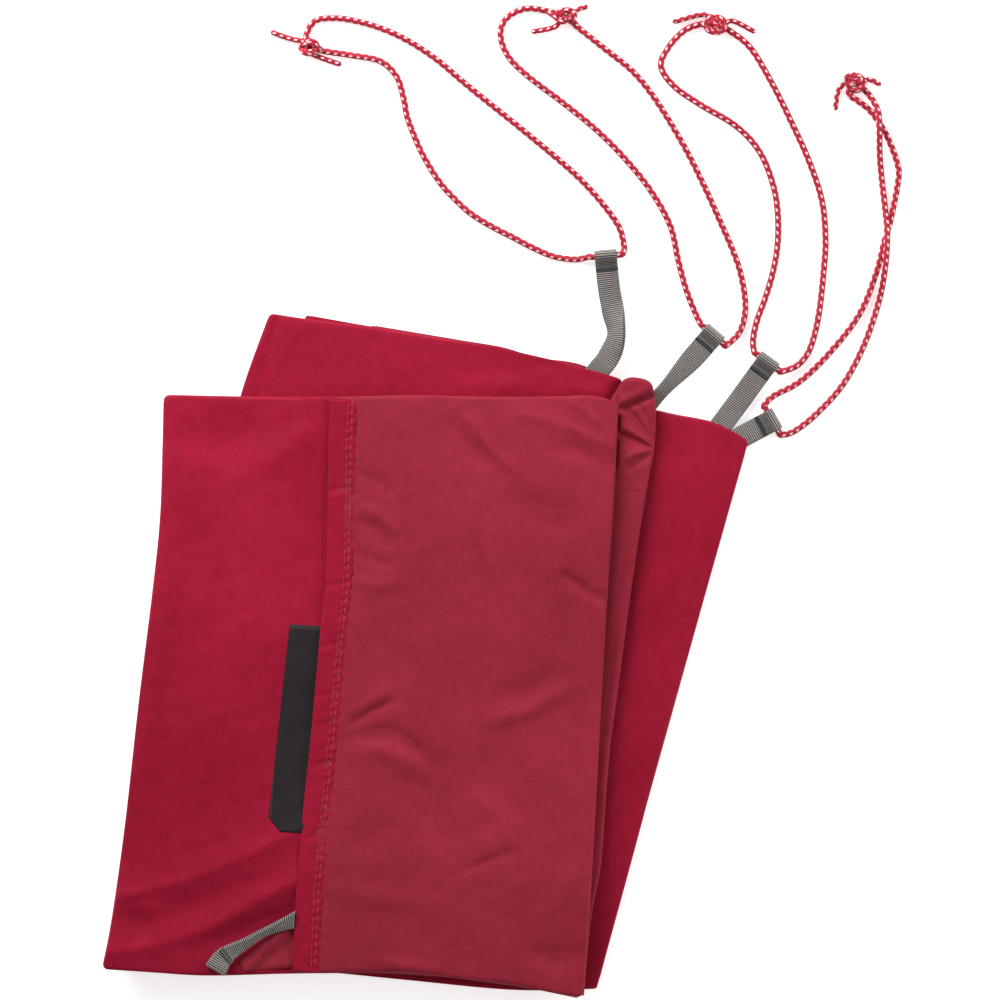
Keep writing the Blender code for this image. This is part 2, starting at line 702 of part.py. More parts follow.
# Each loop runs out of both mouths of its strap's eye to one knot. The points are offsets from the
# middle of the eye, across, up and, where the cord passes over itself, above the ground.
CORD_ROUTES = {
    1: {
        "left": [(-13, -1.5), (-22, -0.2), (-31, 3.6), (-39, 7.8), (-48, 12.4), (-57, 18), (-65, 25.4),
                 (-71, 32.6), (-77, 42.6), (-81, 51.5), (-83.7, 59), (-85, 66), (-88, 75.4), (-95, 82),
                 (-107, 84.4), (-119.5, 86.4)],
        "right": [(7.6, 4.4), (5.4, 12.4), (-0.8, 21.2), (-8.5, 30), (-17, 38), (-35, 53), (-52, 66.6),
                  (-61, 74), (-70, 81.7), (-79, 88), (-88, 93), (-97, 96.6), (-106, 99), (-114, 100),
                  (-122, 99), (-125.8, 93.6)],
        "knot": (-125.5, 88.4),
        "tails": [[(-133, 91.5), (-141, 94.3)], [(-122.5, 82.6), (-112, 77.6)]],
    },
    2: {
        "left": [(-7.6, 9.6), (-11.4, 19.5), (-14.6, 31.3), (-18, 46), (-26, 60.4), (-36.6, 73.7), (-49, 86.2),
                 (-63, 97.6), (-77.4, 108.5), (-86, 117), (-89.4, 126), (-87, 133), (-79, 137.2), (-69.6, 136.2)],
        "right": [(11.4, 1.6), (13.6, 12), (11.7, 25.4), (8.3, 35.5), (4, 45.5), (-5, 65.3), (-13.5, 81.7),
                  (-24.4, 99.3), (-34, 111), (-46, 120.7), (-56.4, 129)],
        "knot": (-61.8, 133.3),
        "tails": [[(-66.5, 129.6), (-76.5, 127.4)], [(-57.5, 136.4), (-52.5, 138.4)]],
    },
    3: {
        "left": [(-6, 9.6), (-4.4, 17.3), (-1.2, 26.1), (1.8, 35.8), (4, 47), (4.5, 60), (2.6, 73.8),
                 (-3.3, 88.5), (-13.3, 99.4), (-28, 108.2), (-39.4, 116.2), (-44.8, 124.6), (-41.5, 132.6),
                 (-35, 139.4), (-27.6, 142.2)],
        "right": [(13, -1), (18, 6), (21.5, 19.6), (23.6, 38), (24.4, 52), (22.8, 68.3), (17.3, 85),
                  (9.8, 101.5), (1.8, 117.5), (-7, 132), (-15.4, 139)],
        "knot": (-21.7, 141.8),
        "tails": [[(-27, 146.2), (-40, 143)], [(-15, 143.6), (-5, 138.8)]],
    },
    4: {
        "left": [(0.8, 10.4), (12, 16.6), (24.7, 29), (36.9, 45), (44, 62.6), (47.4, 76), (49.8, 84),
                 (52.8, 99), (53, 107), (48.2, 120), (41.7, 129.8), (36.4, 134.2), (32.4, 137.4)],
        "right": [(9.2, -4.6), (18.4, 2.5), (29.7, 15), (38.6, 31.5), (44.9, 50), (47.4, 64, 3.4),
                  (48.3, 78, 3.4), (47.6, 88, 1.4), (46.1, 101.7), (45.2, 112, 1.4), (45, 121.8, 3.4), (44.4, 130, 3.0),
                  (40.4, 137.4, 1.0)],
        "knot": (34.4, 142.0),
        "tails": [[(28.2, 139.4), (26.5, 130.4)], [(40.5, 143.4), (46, 141.2)]],
    },
}
CORD_Z = CORD / 2 + CORD_FLOOR
MOUTH = WEBBING_WIDTH / 2 + 1.0  # the cord runs straight this far each side of the eye's middle


def cord_points(strap, route):
    """The loop's centre line from the knot through the strap's eye and back to the knot."""
    eye, along = strap.eye_centre()
    axis = Vector((along.y, -along.x, 0.0))

    def spot(step):
        lift = step[2] if len(step) > 2 else 0.0
        return Vector((eye.x + step[0], eye.y + step[1], CORD_Z + lift))

    def branch(side, steps):
        mouth = eye + axis * side * MOUTH
        first = spot(steps[0])
        away = mouth + axis * side * 1.4 + along * 0.2
        away.z = eye.z - 0.1
        run = smooth([mouth, away, first, *(spot(step) for step in steps[1:]), centre])
        for point in run:
            point.z = max(point.z, CORD_Z)
        return run

    centre = spot(route["knot"])
    left = branch(-1, route["left"])
    right = branch(1, route["right"])

    def trimmed(run):
        """The run up to the side of the knot, which is an ellipse in plan."""
        kept = []
        for point in run:
            away = (point - centre).xy
            reach = math.hypot(away.x / KNOT_SIZE[0], away.y / KNOT_SIZE[1])
            if reach > 1.0 and away.length * (1 - 1 / reach) > KNOT_GAP:
                kept.append(point)
        return kept

    return trimmed(left)[::-1] + trimmed(right), centre


def resampled(route, near, coarse, fine, around):
    """Points along a route, coarse apart, but fine apart within a distance of near."""
    marks = lengths_along(route)
    at, out = 0.0, []
    while at < marks[-1]:
        point, _ = point_along(route, marks, at)
        out.append(point)
        at += fine if (point - near).length < around else coarse
    if (out[-1] - route[-1]).length < 0.5 * coarse:
        out.pop()
    return [*out, route[-1]]


def joined(name, pieces, cloth, pivot):
    """One closed solid from overlapping shapes."""
    bpy.context.view_layer.update()
    depsgraph = bpy.context.evaluated_depsgraph_get()
    made = []
    for piece in pieces:
        mesh = bpy.data.meshes.new_from_object(piece.evaluated_get(depsgraph))
        shape = bmesh.new()
        shape.from_mesh(mesh)
        bmesh.ops.remove_doubles(shape, verts=shape.verts, dist=0.00001)
        bmesh.ops.recalc_face_normals(shape, faces=shape.faces)
        shape.to_mesh(mesh)
        shape.free()
        solid = bpy.data.objects.new(name, mesh)
        solid.matrix_world = piece.matrix_world
        made.append(solid)
        bpy.data.objects.remove(piece, do_unlink=True)
    whole, *others = made
    whole.name = name
    for i, other in enumerate(others):
        other.name = f"{name}_piece_{i}"
        other.hide_render = True
        other.display_type = "WIRE"
        cutters.objects.link(other)
        join = whole.modifiers.new("join", "BOOLEAN")
        join.operation = "UNION"
        join.object = other
    return finish(whole, cloth, pivot)


def knot_solid(number, centre, tails, pivot):
    """An overhand knot as a plain lump with the cord's two free tails."""
    start = Vector((centre.x, centre.y, KNOT_SIZE[2] + CORD_FLOOR))
    mesh = bpy.data.meshes.new("knot_lump")
    shape = bmesh.new()
    bmesh.ops.create_uvsphere(shape, u_segments=14, v_segments=7, radius=1.0)
    for vertex in shape.verts:
        vertex.co = (start + Vector(a * b for a, b in zip(vertex.co, KNOT_SIZE))) * MM
    shape.to_mesh(mesh)
    shape.free()
    lump = bpy.data.objects.new("knot_lump", mesh)
    parts.objects.link(lump)
    pieces = [lump]
    for tail in tails:
        run = resampled(smooth([start, *tail]), start, KNOT_TAIL, KNOT_TAIL, 0.0)
        for point in run:
            point.z = max(point.z, KNOT_TAIL / 2 + CORD_FLOOR)
        pieces.append(tube(f"knot_{number}_tail", run, KNOT_TAIL, CORD_CLOTH))
    joined(f"knot_{number}", pieces, CORD_CLOTH, pivot)


for number, route in CORD_ROUTES.items():
    strap = straps[number]
    eye, along = strap.eye_centre()
    cord_pivot = pivot_at(f"cord_{number}_hinge", eye, strap.pivot)
    points, centre = cord_points(strap, route)
    run = resampled(points, eye, 2.3 * CORD, 0.8 * CORD, 4.2 * CORD)
    tube(f"cord_{number}", run, CORD, CORD_CLOTH, cord_pivot)
    tail_z = KNOT_TAIL / 2 + CORD_FLOOR
    tails = [[Vector((eye.x + x, eye.y + y, tail_z)) for x, y in tail] for tail in route["tails"]]
    knot_solid(number, centre, tails, cord_pivot)

bpy.context.view_layer.update()
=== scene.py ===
"""A tent footprint (groundsheet) of coated polyester, folded flat for storage: how it looks.

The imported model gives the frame, and each soft solid in it is replaced by its cloth, webbing or cord.
+X runs across the folded packet, +Y away from its bottom crease, +Z up from the ground. Sizes written
in millimetres are turned into metres by MM.
"""

import json
import math

import bmesh
import bpy
import numpy as np
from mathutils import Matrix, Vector


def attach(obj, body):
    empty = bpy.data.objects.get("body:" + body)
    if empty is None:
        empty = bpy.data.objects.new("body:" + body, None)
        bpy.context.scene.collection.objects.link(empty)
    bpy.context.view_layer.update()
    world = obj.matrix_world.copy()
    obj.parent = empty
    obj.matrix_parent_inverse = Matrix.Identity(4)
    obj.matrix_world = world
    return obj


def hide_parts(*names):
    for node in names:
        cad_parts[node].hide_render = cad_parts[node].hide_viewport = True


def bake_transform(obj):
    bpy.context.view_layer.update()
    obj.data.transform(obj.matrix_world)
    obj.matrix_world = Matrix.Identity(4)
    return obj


MM = 0.001

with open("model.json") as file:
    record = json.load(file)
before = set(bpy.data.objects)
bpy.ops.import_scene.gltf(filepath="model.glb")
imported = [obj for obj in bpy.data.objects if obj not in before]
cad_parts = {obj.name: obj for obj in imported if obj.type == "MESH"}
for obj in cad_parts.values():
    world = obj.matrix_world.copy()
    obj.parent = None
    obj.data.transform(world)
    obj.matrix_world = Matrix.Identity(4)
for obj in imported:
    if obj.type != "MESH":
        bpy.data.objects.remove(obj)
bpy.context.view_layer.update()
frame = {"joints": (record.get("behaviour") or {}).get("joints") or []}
joints = {joint["name"]: joint for joint in frame["joints"]}

# ---------------------------------------------------------------- camera
# The packet lies flat and is looked at from straight above with a long lens, so that nothing leans.

long_lens = bpy.data.cameras.new("overhead")
long_lens.lens = 250.0
long_lens.sensor_width = 36.0
overhead = bpy.data.objects.new("overhead", long_lens)
bpy.context.scene.collection.objects.link(overhead)
overhead.location = (0.0238, 0.0514, 2.9237)
bpy.context.scene.camera = overhead

# ---------------------------------------------------------------- the folded sheet
# One large rectangle of thin coated polyester, folded again and again into two packets that share
# their lower right corner. The upper packet is turned a little clockwise and the lower one further,
# so the layers fan out. Every fold here is a closed skin over its own few layers of cloth.


class Packet:
    """Places points in one packet, in millimetres: x from its right edge, y up from its bottom crease."""

    def __init__(self, corner, across):
        self.corner = corner
        self.across = across.normalized()
        self.up = Vector((-self.across.y, self.across.x))

    def at(self, x, y):
        return self.corner + (float(x) * self.across + float(y) * self.up) * MM

    def run(self, *spots):
        """Several points in a row, for an edge or the run of a fold."""
        return [self.at(x, y) for x, y in spots]

    def local(self, east, north):
        """Where points of the frame lie in the packet, for whole arrays of them."""
        east = east - self.corner.x
        north = north - self.corner.y
        x = (east * self.across.x + north * self.across.y) / MM
        y = (east * self.up.x + north * self.up.y) / MM
        return x, y


fold_line = Vector(joints["packet_fold"]["axis"][:2])
flap_line = Vector(joints["flap_fold"]["axis"][:2])
flap_spot = Vector(joints["flap_fold"]["pos_m"][:2])
low_on_flap_line = flap_spot + (Vector(joints["packet_fold"]["pos_m"][:2]) - flap_spot).dot(flap_line) * flap_line
upper = Packet(low_on_flap_line + (flap_line - 0.3 * fold_line) * MM, fold_line)
lower = Packet(upper.corner + Vector((6.1, 2.0)) * MM, Vector(joints["strap_1_lift"]["axis"][:2]))


EDGE_STEP = 0.4


def smooth_line(points, spacing=EDGE_STEP * MM):
    """A smooth curve through the points, as an array with a point every so often along it."""
    points = np.array([tuple(point) for point in points], float)
    if len(points) == 2:
        dense = points
    else:
        ends = np.vstack([2 * points[0] - points[1], points, 2 * points[-1] - points[-2]])
        share = np.linspace(0, 1, 24, endpoint=False)[:, None]
        dense = []
        for a, b, c, d in zip(ends, ends[1:], ends[2:], ends[3:]):
            bend = share**2 * (2 * a - 5 * b + 4 * c - d) + share**3 * (3 * b - a - 3 * c + d)
            dense.append(0.5 * (2 * b + share * (c - a) + bend))
        dense = np.vstack([*dense, points[-1:]])
    marks = np.concatenate([[0], np.cumsum(np.linalg.norm(np.diff(dense, axis=0), axis=1))])
    even = np.linspace(0, marks[-1], max(2, round(marks[-1] / spacing) + 1))
    return np.column_stack([np.interp(even, marks, dense[:, k]) for k in range(dense.shape[1])])


def along_line(line, share):
    """The point at each share of the way along a line."""
    steps = np.linspace(0, 1, len(line))
    return np.stack([np.interp(share, steps, line[:, k]) for k in range(line.shape[1])], axis=-1)


def steps_across(length, cell, rim):
    """Shares of the way across a panel, close together where its rim curves over."""
    near = rim * np.array([0.0, 0.03, 0.12, 0.28, 0.55])
    middle = np.linspace(rim, length - rim, max(3, round((length - 2 * rim) / cell)) + 1)
    return np.concatenate([near, middle, (length - near)[::-1]]) / length


def skin(name, grids):
    """A mesh over grids of points. Each grid is (points, UV, round): a round one closes across its columns
    and is capped at both ends. The UV holds the cloth's own lengths, in metres."""
    vertices, faces, corners = [], [], []
    for points, uv, is_round in grids:
        rows, columns = points.shape[:2]
        start = sum(len(block) for block in vertices)
        used = columns - 1 if is_round else columns
        vertices.append(points[:, :used].reshape(-1, 3))
        row, column = np.meshgrid(np.arange(rows - 1), np.arange(columns - 1), indexing="ij")
        quad = np.stack([(row, column), (row, column + 1), (row + 1, column + 1), (row + 1, column)])
        quad = quad.transpose(2, 3, 0, 1).reshape(-1, 4, 2)
        faces += (start + quad[..., 0] * used + quad[..., 1] % used).tolist()
        corners.append(uv[quad[..., 0], quad[..., 1]].reshape(-1, 2))
        if is_round:
            faces.append([start + k for k in range(used)][::-1])
            corners.append(uv[0, :used][::-1])
            faces.append([start + (rows - 1) * used + k for k in range(used)])
            corners.append(uv[-1, :used])
    mesh = bpy.data.meshes.new(name)
    mesh.from_pydata(np.vstack(vertices).tolist(), [], faces)
    lengths = mesh.uv_layers.new(name="lengths")
    lengths.data.foreach_set("uv", np.vstack(corners).astype(np.float32).ravel())
    mesh.shade_smooth()
    piece = bpy.data.objects.new(name, mesh)
    bpy.context.scene.collection.objects.link(piece)
    return piece


def welded(piece):
    """The same piece with the vertices that meet at its rims made one."""
    cloth = bmesh.new()
    cloth.from_mesh(piece.data)
    bmesh.ops.remove_doubles(cloth, verts=cloth.verts, dist=0.002 * MM)
    bmesh.ops.recalc_face_normals(cloth, faces=cloth.faces)
    cloth.to_mesh(piece.data)
    cloth.free()
    return piece


def flat_rise(x, y):
    """No rise at all: a smooth face."""
    return np.zeros(x.shape)


def fold_skin(sides, base, thick, cell=3.0, rim=1.5, corner=3.0, packet=upper, rise=flat_rise, settle=flat_rise,
              sink=flat_rise):
    """Grids of one fold of cloth between its left, right, bottom and top edges.

    base and thick are its underside and thickness, rim how far in its edge curves over and corner the
    radius of its corners, all in millimetres. rise lifts the top by wrinkles, settle moves both faces
    and sink lowers the underside, each as millimetres from arrays of x and y in the packet.
    """
    left, right, bottom, top = (smooth_line(side) for side in sides)
    wide = len(bottom) * EDGE_STEP
    deep = len(left) * EDGE_STEP
    u, v = np.meshgrid(steps_across(wide, cell, rim), steps_across(deep, cell, rim))
    from_side = np.minimum(u, 1 - u) * wide
    from_end = np.minimum(v, 1 - v) * deep
    a = np.clip(1 - from_side / corner, 0, 1)
    b = np.clip(1 - from_end / corner, 0, 1)
    pull = np.where((a > 0) & (b > 0), np.maximum(a, b) / np.maximum(np.hypot(a, b), 1e-9), 1.0)
    inner_u = np.where(a > 0, corner * (1 - a * pull), from_side) / wide
    inner_v = np.where(b > 0, corner * (1 - b * pull), from_end) / deep
    across = np.where(u < 0.5, inner_u, 1 - inner_u)
    upward = np.where(v < 0.5, inner_v, 1 - inner_v)
    low, high = along_line(bottom, across), along_line(top, across)
    west, east = along_line(left, upward), along_line(right, upward)
    s, t = across[..., None], upward[..., None]
    corners = (1 - s) * (1 - t) * bottom[0] + s * (1 - t) * bottom[-1] + (1 - s) * t * top[0] + s * t * top[-1]
    spot = (1 - t) * low + t * high + (1 - s) * west + s * east - corners
    x, y = packet.local(spot[..., 0], spot[..., 1])
    edge = np.minimum(from_side, from_end)
    curve = np.sqrt(1 - (1 - np.clip(edge / rim, 0, 1)) ** 2)
    shift = settle(x, y)
    middle = base + thick / 2 + shift
    under = middle - thick / 2 * curve - sink(x, y) * curve
    over = np.maximum(middle + (thick / 2 + rise(x, y)) * curve, under + 0.12 * curve)
    uv = np.stack([across * wide, upward * deep], axis=-1) * MM
    faces = []
    for height, flip in ((over, False), (under, True)):
        points = np.concatenate([spot, height[..., None] * MM], axis=-1)
        faces.append((points[:, ::-1], uv[:, ::-1], False) if flip else (points, uv, False))
    return faces


def ridge(x, y, path, width, height, sharp=False, open_ends=False):
    """Height of a raised fold, or with a height below zero a valley, which fades out at its ends."""
    near = np.full(x.shape, 1e9)
    along = np.zeros(x.shape)
    total = sum(math.dist(a, b) for a, b in zip(path, path[1:]))
    walked = 0.0
    for (ax, ay), (bx, by) in zip(path, path[1:]):
        length = math.hypot(bx - ax, by - ay)
        share = np.clip(((x - ax) * (bx - ax) + (y - ay) * (by - ay)) / length**2, 0, 1)
        gap = np.hypot(x - ax - share * (bx - ax), y - ay - share * (by - ay))
        closer = gap < near
        near = np.where(closer, gap, near)
        along = np.where(closer, (walked + share * length) / total, along)
        walked += length
    profile = np.exp(-(np.sqrt(near**2 + 0.36) - 0.6) / width) if sharp else np.exp(-((near / width) ** 2))
    ends = 1.0 if open_ends else np.sin(np.pi * np.clip(along, 0.0, 1.0)) ** 0.7
    return height * profile * ends


def ridges(x, y, folds):
    """Several ridges and valleys together, each as its path, width, height, sharpness and open ends."""
    return sum(ridge(x, y, *fold) for fold in folds)


def rumple(x, y, size, seed):
    """Gentle unevenness with bumps about that size apart, mostly between -1 and 1."""
    chance = np.random.RandomState(seed)
    height = np.zeros(x.shape)
    for _ in range(18):
        angle, phase = chance.uniform(0, 2 * math.pi, 2)
        length = size * chance.uniform(0.7, 1.7)
        height += np.sin(2 * math.pi * (x * math.cos(angle) + y * math.sin(angle)) / length + phase)
    return height / 4.2


class Wire:
    """A socket of a material's nodes. Sums written with it add the Math nodes that they need."""

    def __init__(self, tree, socket):
        self.tree = tree
        self.socket = socket

    @classmethod
    def node(cls, tree, kind, settings, sockets, output=0):
        """Adds a node, makes its settings, then fills or links its sockets. Gives one of its outputs."""
        made = tree.nodes.new(kind)
        for setting, value in settings.items():
            setattr(made, setting, value)
        for socket, value in sockets.items():
            if isinstance(value, Wire):
                tree.links.new(value.socket, made.inputs[socket])
            else:
                made.inputs[socket].default_value = value
        return cls(tree, made.outputs[output])

    def math(self, operation, *others):
        return Wire.node(self.tree, "ShaderNodeMath", {"operation": operation}, dict(enumerate([self, *others])))

    def __add__(self, other):
        return self.math("ADD", other)

    __radd__ = __add__

    def __mul__(self, other):
        return self.math("MULTIPLY", other)

    __rmul__ = __mul__

    def __sub__(self, other):
        return self.math("SUBTRACT", other)

    def __rsub__(self, other):
        return Wire.node(self.tree, "ShaderNodeMath", {"operation": "SUBTRACT"}, {0: other, 1: self})

    def __pow__(self, power):
        return self.math("POWER", power)


def finish_nodes(name):
    """A new material, its tree, the place on the object and the cloth's own lengths u and v in metres."""
    made = bpy.data.materials.new(name)
    made.use_nodes = True
    tree = made.node_tree
    place = Wire.node(tree, "ShaderNodeTexCoord", {}, {}, "Object")
    lengths = Wire.node(tree, "ShaderNodeUVMap", {"uv_map": "lengths"}, {})
    u = Wire.node(tree, "ShaderNodeSeparateXYZ", {}, {0: lengths}, 0)
    v = Wire.node(tree, "ShaderNodeSeparateXYZ", {}, {0: lengths}, 1)
    return made, tree, place, u, v


def mixed(tree, share, first, second):
    """One colour turning into another with a share from 0 to 1."""
    settings = {"data_type": "RGBA", "clamp_factor": True}
    return Wire.node(tree, "ShaderNodeMix", settings, {0: share, 6: first, 7: second}, 2)


def rgb(red, green, blue):
    """A colour as seen on screen, from 0 to 255, as the shader's own linear values."""
    linear = [((c / 255 + 0.055) / 1.055) ** 2.4 if c > 10 else c / 255 / 12.92 for c in (red, green, blue)]
    return (*linear, 1.0)


def noise(tree, place, scale, detail=3.0, rough=0.5, distortion=0.0):
    """Blotches from 0 to 1, about 1 / scale metres apart."""
    sockets = {"Vector": place, "Scale": scale, "Detail": detail, "Roughness": rough, "Distortion": distortion}
    return Wire.node(tree, "ShaderNodeTexNoise", {}, sockets)


def surface(made, tree, colour, roughness, height, **fixed):
    """Wires colour, roughness and a height in metres into the material's own shader."""
    shader = tree.nodes["Principled BSDF"]
    tree.links.new(colour.socket, shader.inputs["Base Color"])
    tree.links.new(roughness.socket, shader.inputs["Roughness"])
    bump = Wire.node(tree, "ShaderNodeBump", {}, {"Strength": 1.0, "Distance": 1.0, "Height": height})
    tree.links.new(bump.socket, shader.inputs["Normal"])
    for socket, value in fixed.items():
        shader.inputs[socket.replace("_", " ")].default_value = value
    return made


WEAVE = 15700.0  # radians for each metre, so the threads lie 0.4 mm apart


def polyester(name, deep, pale, shine, sheen, crinkle):
    """Plain-weave polyester: fine threads both ways, soft mottling, and small crinkles pressed by folding."""
    made, tree, place, u, v = finish_nodes(name)
    broad = noise(tree, place, 11.0, 3.0, 0.5, 0.6)
    fine = noise(tree, place, 160.0, 4.0, 0.6)
    threads = noise(tree, Wire.node(tree, "ShaderNodeCombineXYZ", {}, {0: u * 2200.0, 1: v * 130.0}), 1.0, 2.0)
    picks = noise(tree, Wire.node(tree, "ShaderNodeCombineXYZ", {}, {0: u * 130.0, 1: v * 2200.0}), 1.0, 2.0)
    tone = 0.6 * broad + 0.22 * fine + 0.3 * threads + 0.3 * picks - 0.2
    colour = mixed(tree, (tone - 0.3) * 1.9, deep, pale)
    pressed = noise(tree, place, 42.0, 5.0, 0.62, 1.1)
    ridged = ((pressed - 0.5).math("ABSOLUTE") * 2.0) ** 0.6
    weave = (u * WEAVE).math("SINE") * (v * WEAVE).math("SINE")
    height = ridged * (crinkle * MM) + fine * (0.06 * MM) + weave * (0.006 * MM) + (threads + picks) * (0.03 * MM)
    roughness = shine + 0.18 * (fine - 0.5) + 0.10 * (broad - 0.5)
    return surface(made, tree, colour, roughness, height, Sheen_Weight=sheen, Sheen_Roughness=0.4,
                   Specular_IOR_Level=0.5, IOR=1.16)


coated_face = polyester("coated_face", rgb(137, 17, 41), rgb(177, 31, 61), 0.50, 0.0, 0.08)
matt_back = polyester("matt_back", rgb(133, 32, 49), rgb(171, 49, 67), 0.58, 0.03, 0.10)


def as_cloth(name, grids, finish, body, nodes):
    """One piece of folded cloth: its skin, finish, body and the solids that it stands for."""
    piece = welded(skin(name, grids))
    piece.data.materials.append(finish)
    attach(piece, body)
    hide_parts(*nodes)
    return piece


# The bottom of the lower packet: three folds that lie on the ground. Their right and top edges
# show past everything above them, and the topmost is the smooth panel at the right.


def ground_sides(inset, sway):
    """Edges of one of the bottom layers, drawn in by inset and swayed a little from its neighbours."""
    left = [
        *upper.run((-200.0 + inset, 4.0 + inset), (-195.0 + inset, 45.0)),
        *lower.run((-209.0 + inset, 120.0), (-209.0 + inset, 229.0 - inset)),
    ]
    right = lower.run((-0.3 - inset, 1.0 + inset), (-0.4 - inset + sway, 60.0), (-0.9 - inset - sway, 125.0),
                      (-0.2 - inset + 0.5 * sway, 190.0), (0.0 - inset, 240.4 - inset))
    bottom = [left[0], *upper.run((-120.0, 4.0 + inset), (-77.0, 2.6 + inset), (-30.0, 1.0 + inset)), right[0]]
    top = [left[-1], *lower.run((-120.0, 240.0), (-41.0, 242.6 - inset), (-19.0, 244.2 - inset),
                                (-6.9, 242.5 - inset)), right[-1]]
    return left, right, bottom, top


as_cloth(
    "ground_folds",
    fold_skin(ground_sides(0.3, 0.2), base=0.0, thick=1.0, cell=6.0, rim=0.6, corner=1.8)
    + fold_skin(ground_sides(0.0, -0.3), base=1.05, thick=1.0, cell=6.0, rim=0.7, corner=1.8)
    + fold_skin(ground_sides(0.7, 0.3), base=2.1, thick=1.0, cell=6.0, rim=0.6, corner=1.8),
    coated_face, "lower_packet", ["ground_panel"],
)


def right_panel_rise(x, y):
    """The right panel, in the lower packet. It slopes down from the folds beneath it to its own edge."""
    east = lower.corner.x + (x * lower.across.x + y * lower.up.x) * MM
    north = lower.corner.y + (x * lower.across.y + y * lower.up.y) * MM
    clear = np.clip((upper.local(east, north)[0] + 1.5) / 3.0, 0, 1)
    height = 2.6 * np.clip(-x / 60.0, 0, 1) * clear
    height += ridges(x, y, [
        ([(-8, 217), (-6, 161), (-4, 115), (-2, 51), (0, 5)], 3.2, 0.35),
        ([(-40, 150), (-26, 164), (-16, 175), (-6, 187)], 7.0, 0.45),
        ([(-32, 66), (-14, 78), (-5, 86)], 4.5, 0.4),
        ([(-46, 222), (-30, 215), (-12, 214)], 6.0, 0.4),
        ([(-24, 130), (-14, 120), (-6, 118)], 5.0, -0.3),
    ])
    return height + 0.16 * rumple(x, y, 34.0, 5)


as_cloth(
    "right_panel",
    fold_skin(ground_sides(0.2, 0.0), base=3.15, thick=1.0, cell=1.8, rim=1.2, corner=1.6, packet=lower,
              rise=right_panel_rise),
    coated_face, "lower_packet", ["lower_layers"],
)

# The upper layers of the lower packet. Two folds inside peek out past the top edge of the panel that
# covers them, and that panel's top left part shows above the upper packet.


def hidden_right(inset):
    """The right edge of a fold that lies under the flap's crease."""
    return upper.run((-6.0, 8.0), (-3.0, 120.0), (-1.0 - inset, 222.0), (1.6 - inset, 260.0))


def left_side(inset, high):
    """The left edge of the lower packet's upper folds, up to a height that differs from fold to fold."""
    return [
        *upper.run((-197.4 + inset, 10.0), (-192.4 + inset, 45.0)),
        *lower.run((-208.9 + inset, 95.0), (-210.8 + inset, 160.0), (-210.9 + inset, 205.0),
                   (-208.4 + inset, high)),
    ]


def hidden_bottom(left, right):
    """A bottom edge inside the crease, between two sides."""
    return [left[0], *upper.run((-120.0, 9.0), (-60.0, 9.0)), right[0]]


def peeking_fold(name, node, base, inset, top_points, high, finish):
    """One inner fold: only a strip along its top edge shows."""
    left = left_side(inset, high)
    right = hidden_right(3.0)
    top = [left[-1], *top_points, right[-1]]
    grids = fold_skin((left, right, hidden_bottom(left, right), top), base=base, thick=0.9, cell=3.5, rim=0.7,
                      corner=1.6, packet=lower, rise=lambda x, y: 0.1 * rumple(x, y, 15.0, 8))
    as_cloth(name, grids, finish, "lower_packet", [node])


peeking_fold(
    "inner_fold_back", "inner_fold_a", 4.4, 42.0,
    lower.run((-160.0, 245.8), (-127.0, 249.2), (-110.0, 250.9), (-95.0, 250.6), (-78.0, 252.6)),
    245.0, matt_back,
)
peeking_fold(
    "inner_fold_front", "inner_fold_b", 5.6, 14.8,
    lower.run((-172.0, 244.0), (-140.0, 247.2), (-110.0, 250.2), (-80.0, 251.4)),
    242.0, coated_face,
)


def left_panel_rise(x, y):
    """The panel at the top left: smooth at the left, pulled into long folds towards the bunched corner."""
    height = ridges(x, y, [
        ([(-109, 235), (-90, 244), (-70, 252)], 3.0, 0.5),
        ([(-130, 231), (-105, 235), (-84, 238), (-66, 240)], 4.0, 0.7),
        ([(-86, 241), (-67, 243), (-58, 243)], 1.8, 0.6, True),
        ([(-96, 248), (-76, 249), (-62, 247)], 2.2, -0.5),
        ([(-80, 232), (-68, 234), (-58, 236)], 2.6, -0.6),
        ([(-205, 240), (-204, 215), (-203, 185)], 1.6, -0.4, False, True),
        ([(-57.6, 252.0), (-60.6, 241.5)], 1.1, -1.6, True, True),
        ([(-63.5, 251.0), (-66.0, 243.0)], 2.2, 0.5),
    ])
    return height + 0.3 * rumple(x, y, 40.0, 11) + 0.05 * rumple(x, y, 9.0, 12)


left_edge = left_side(0.0, 238.6)
right_edge = hidden_right(0.2)
top_edge = [left_edge[-1], *lower.run((-196.0, 240.0), (-172.4, 243.2), (-140.0, 247.0), (-111.0, 250.1),
                                      (-85.0, 251.2), (-66.0, 251.4)), right_edge[-1]]
as_cloth(
    "left_panel",
    fold_skin((left_edge, right_edge, hidden_bottom(left_edge, right_edge), top_edge), base=6.8, thick=1.3,
              cell=1.8, rim=1.3, corner=2.4, packet=lower, rise=left_panel_rise),
    coated_face, "lower_packet", ["lower_top_panel"],
)

# The middle layers. Only their right edge shows, as a darker strip beside the flap's crease. At the top
# the same cloth is bunched into a soft roll, with creases that run out of one pinched point.


def middle_rise(x, y):
    """A ridge and a valley that run up the strip."""
    strip = ridge(x, y, [(14.4, 228), (10.6, 197), (8.0, 165), (5.8, 133), (3.6, 103), (2.6, 55)], 1.0, 0.35)
    strip += ridge(x, y, [(8.0, 205), (5.6, 165), (4.0, 133), (2.4, 100)], 1.2, -0.45)
    return strip + 0.07 * rumple(x, y, 11.0, 21)


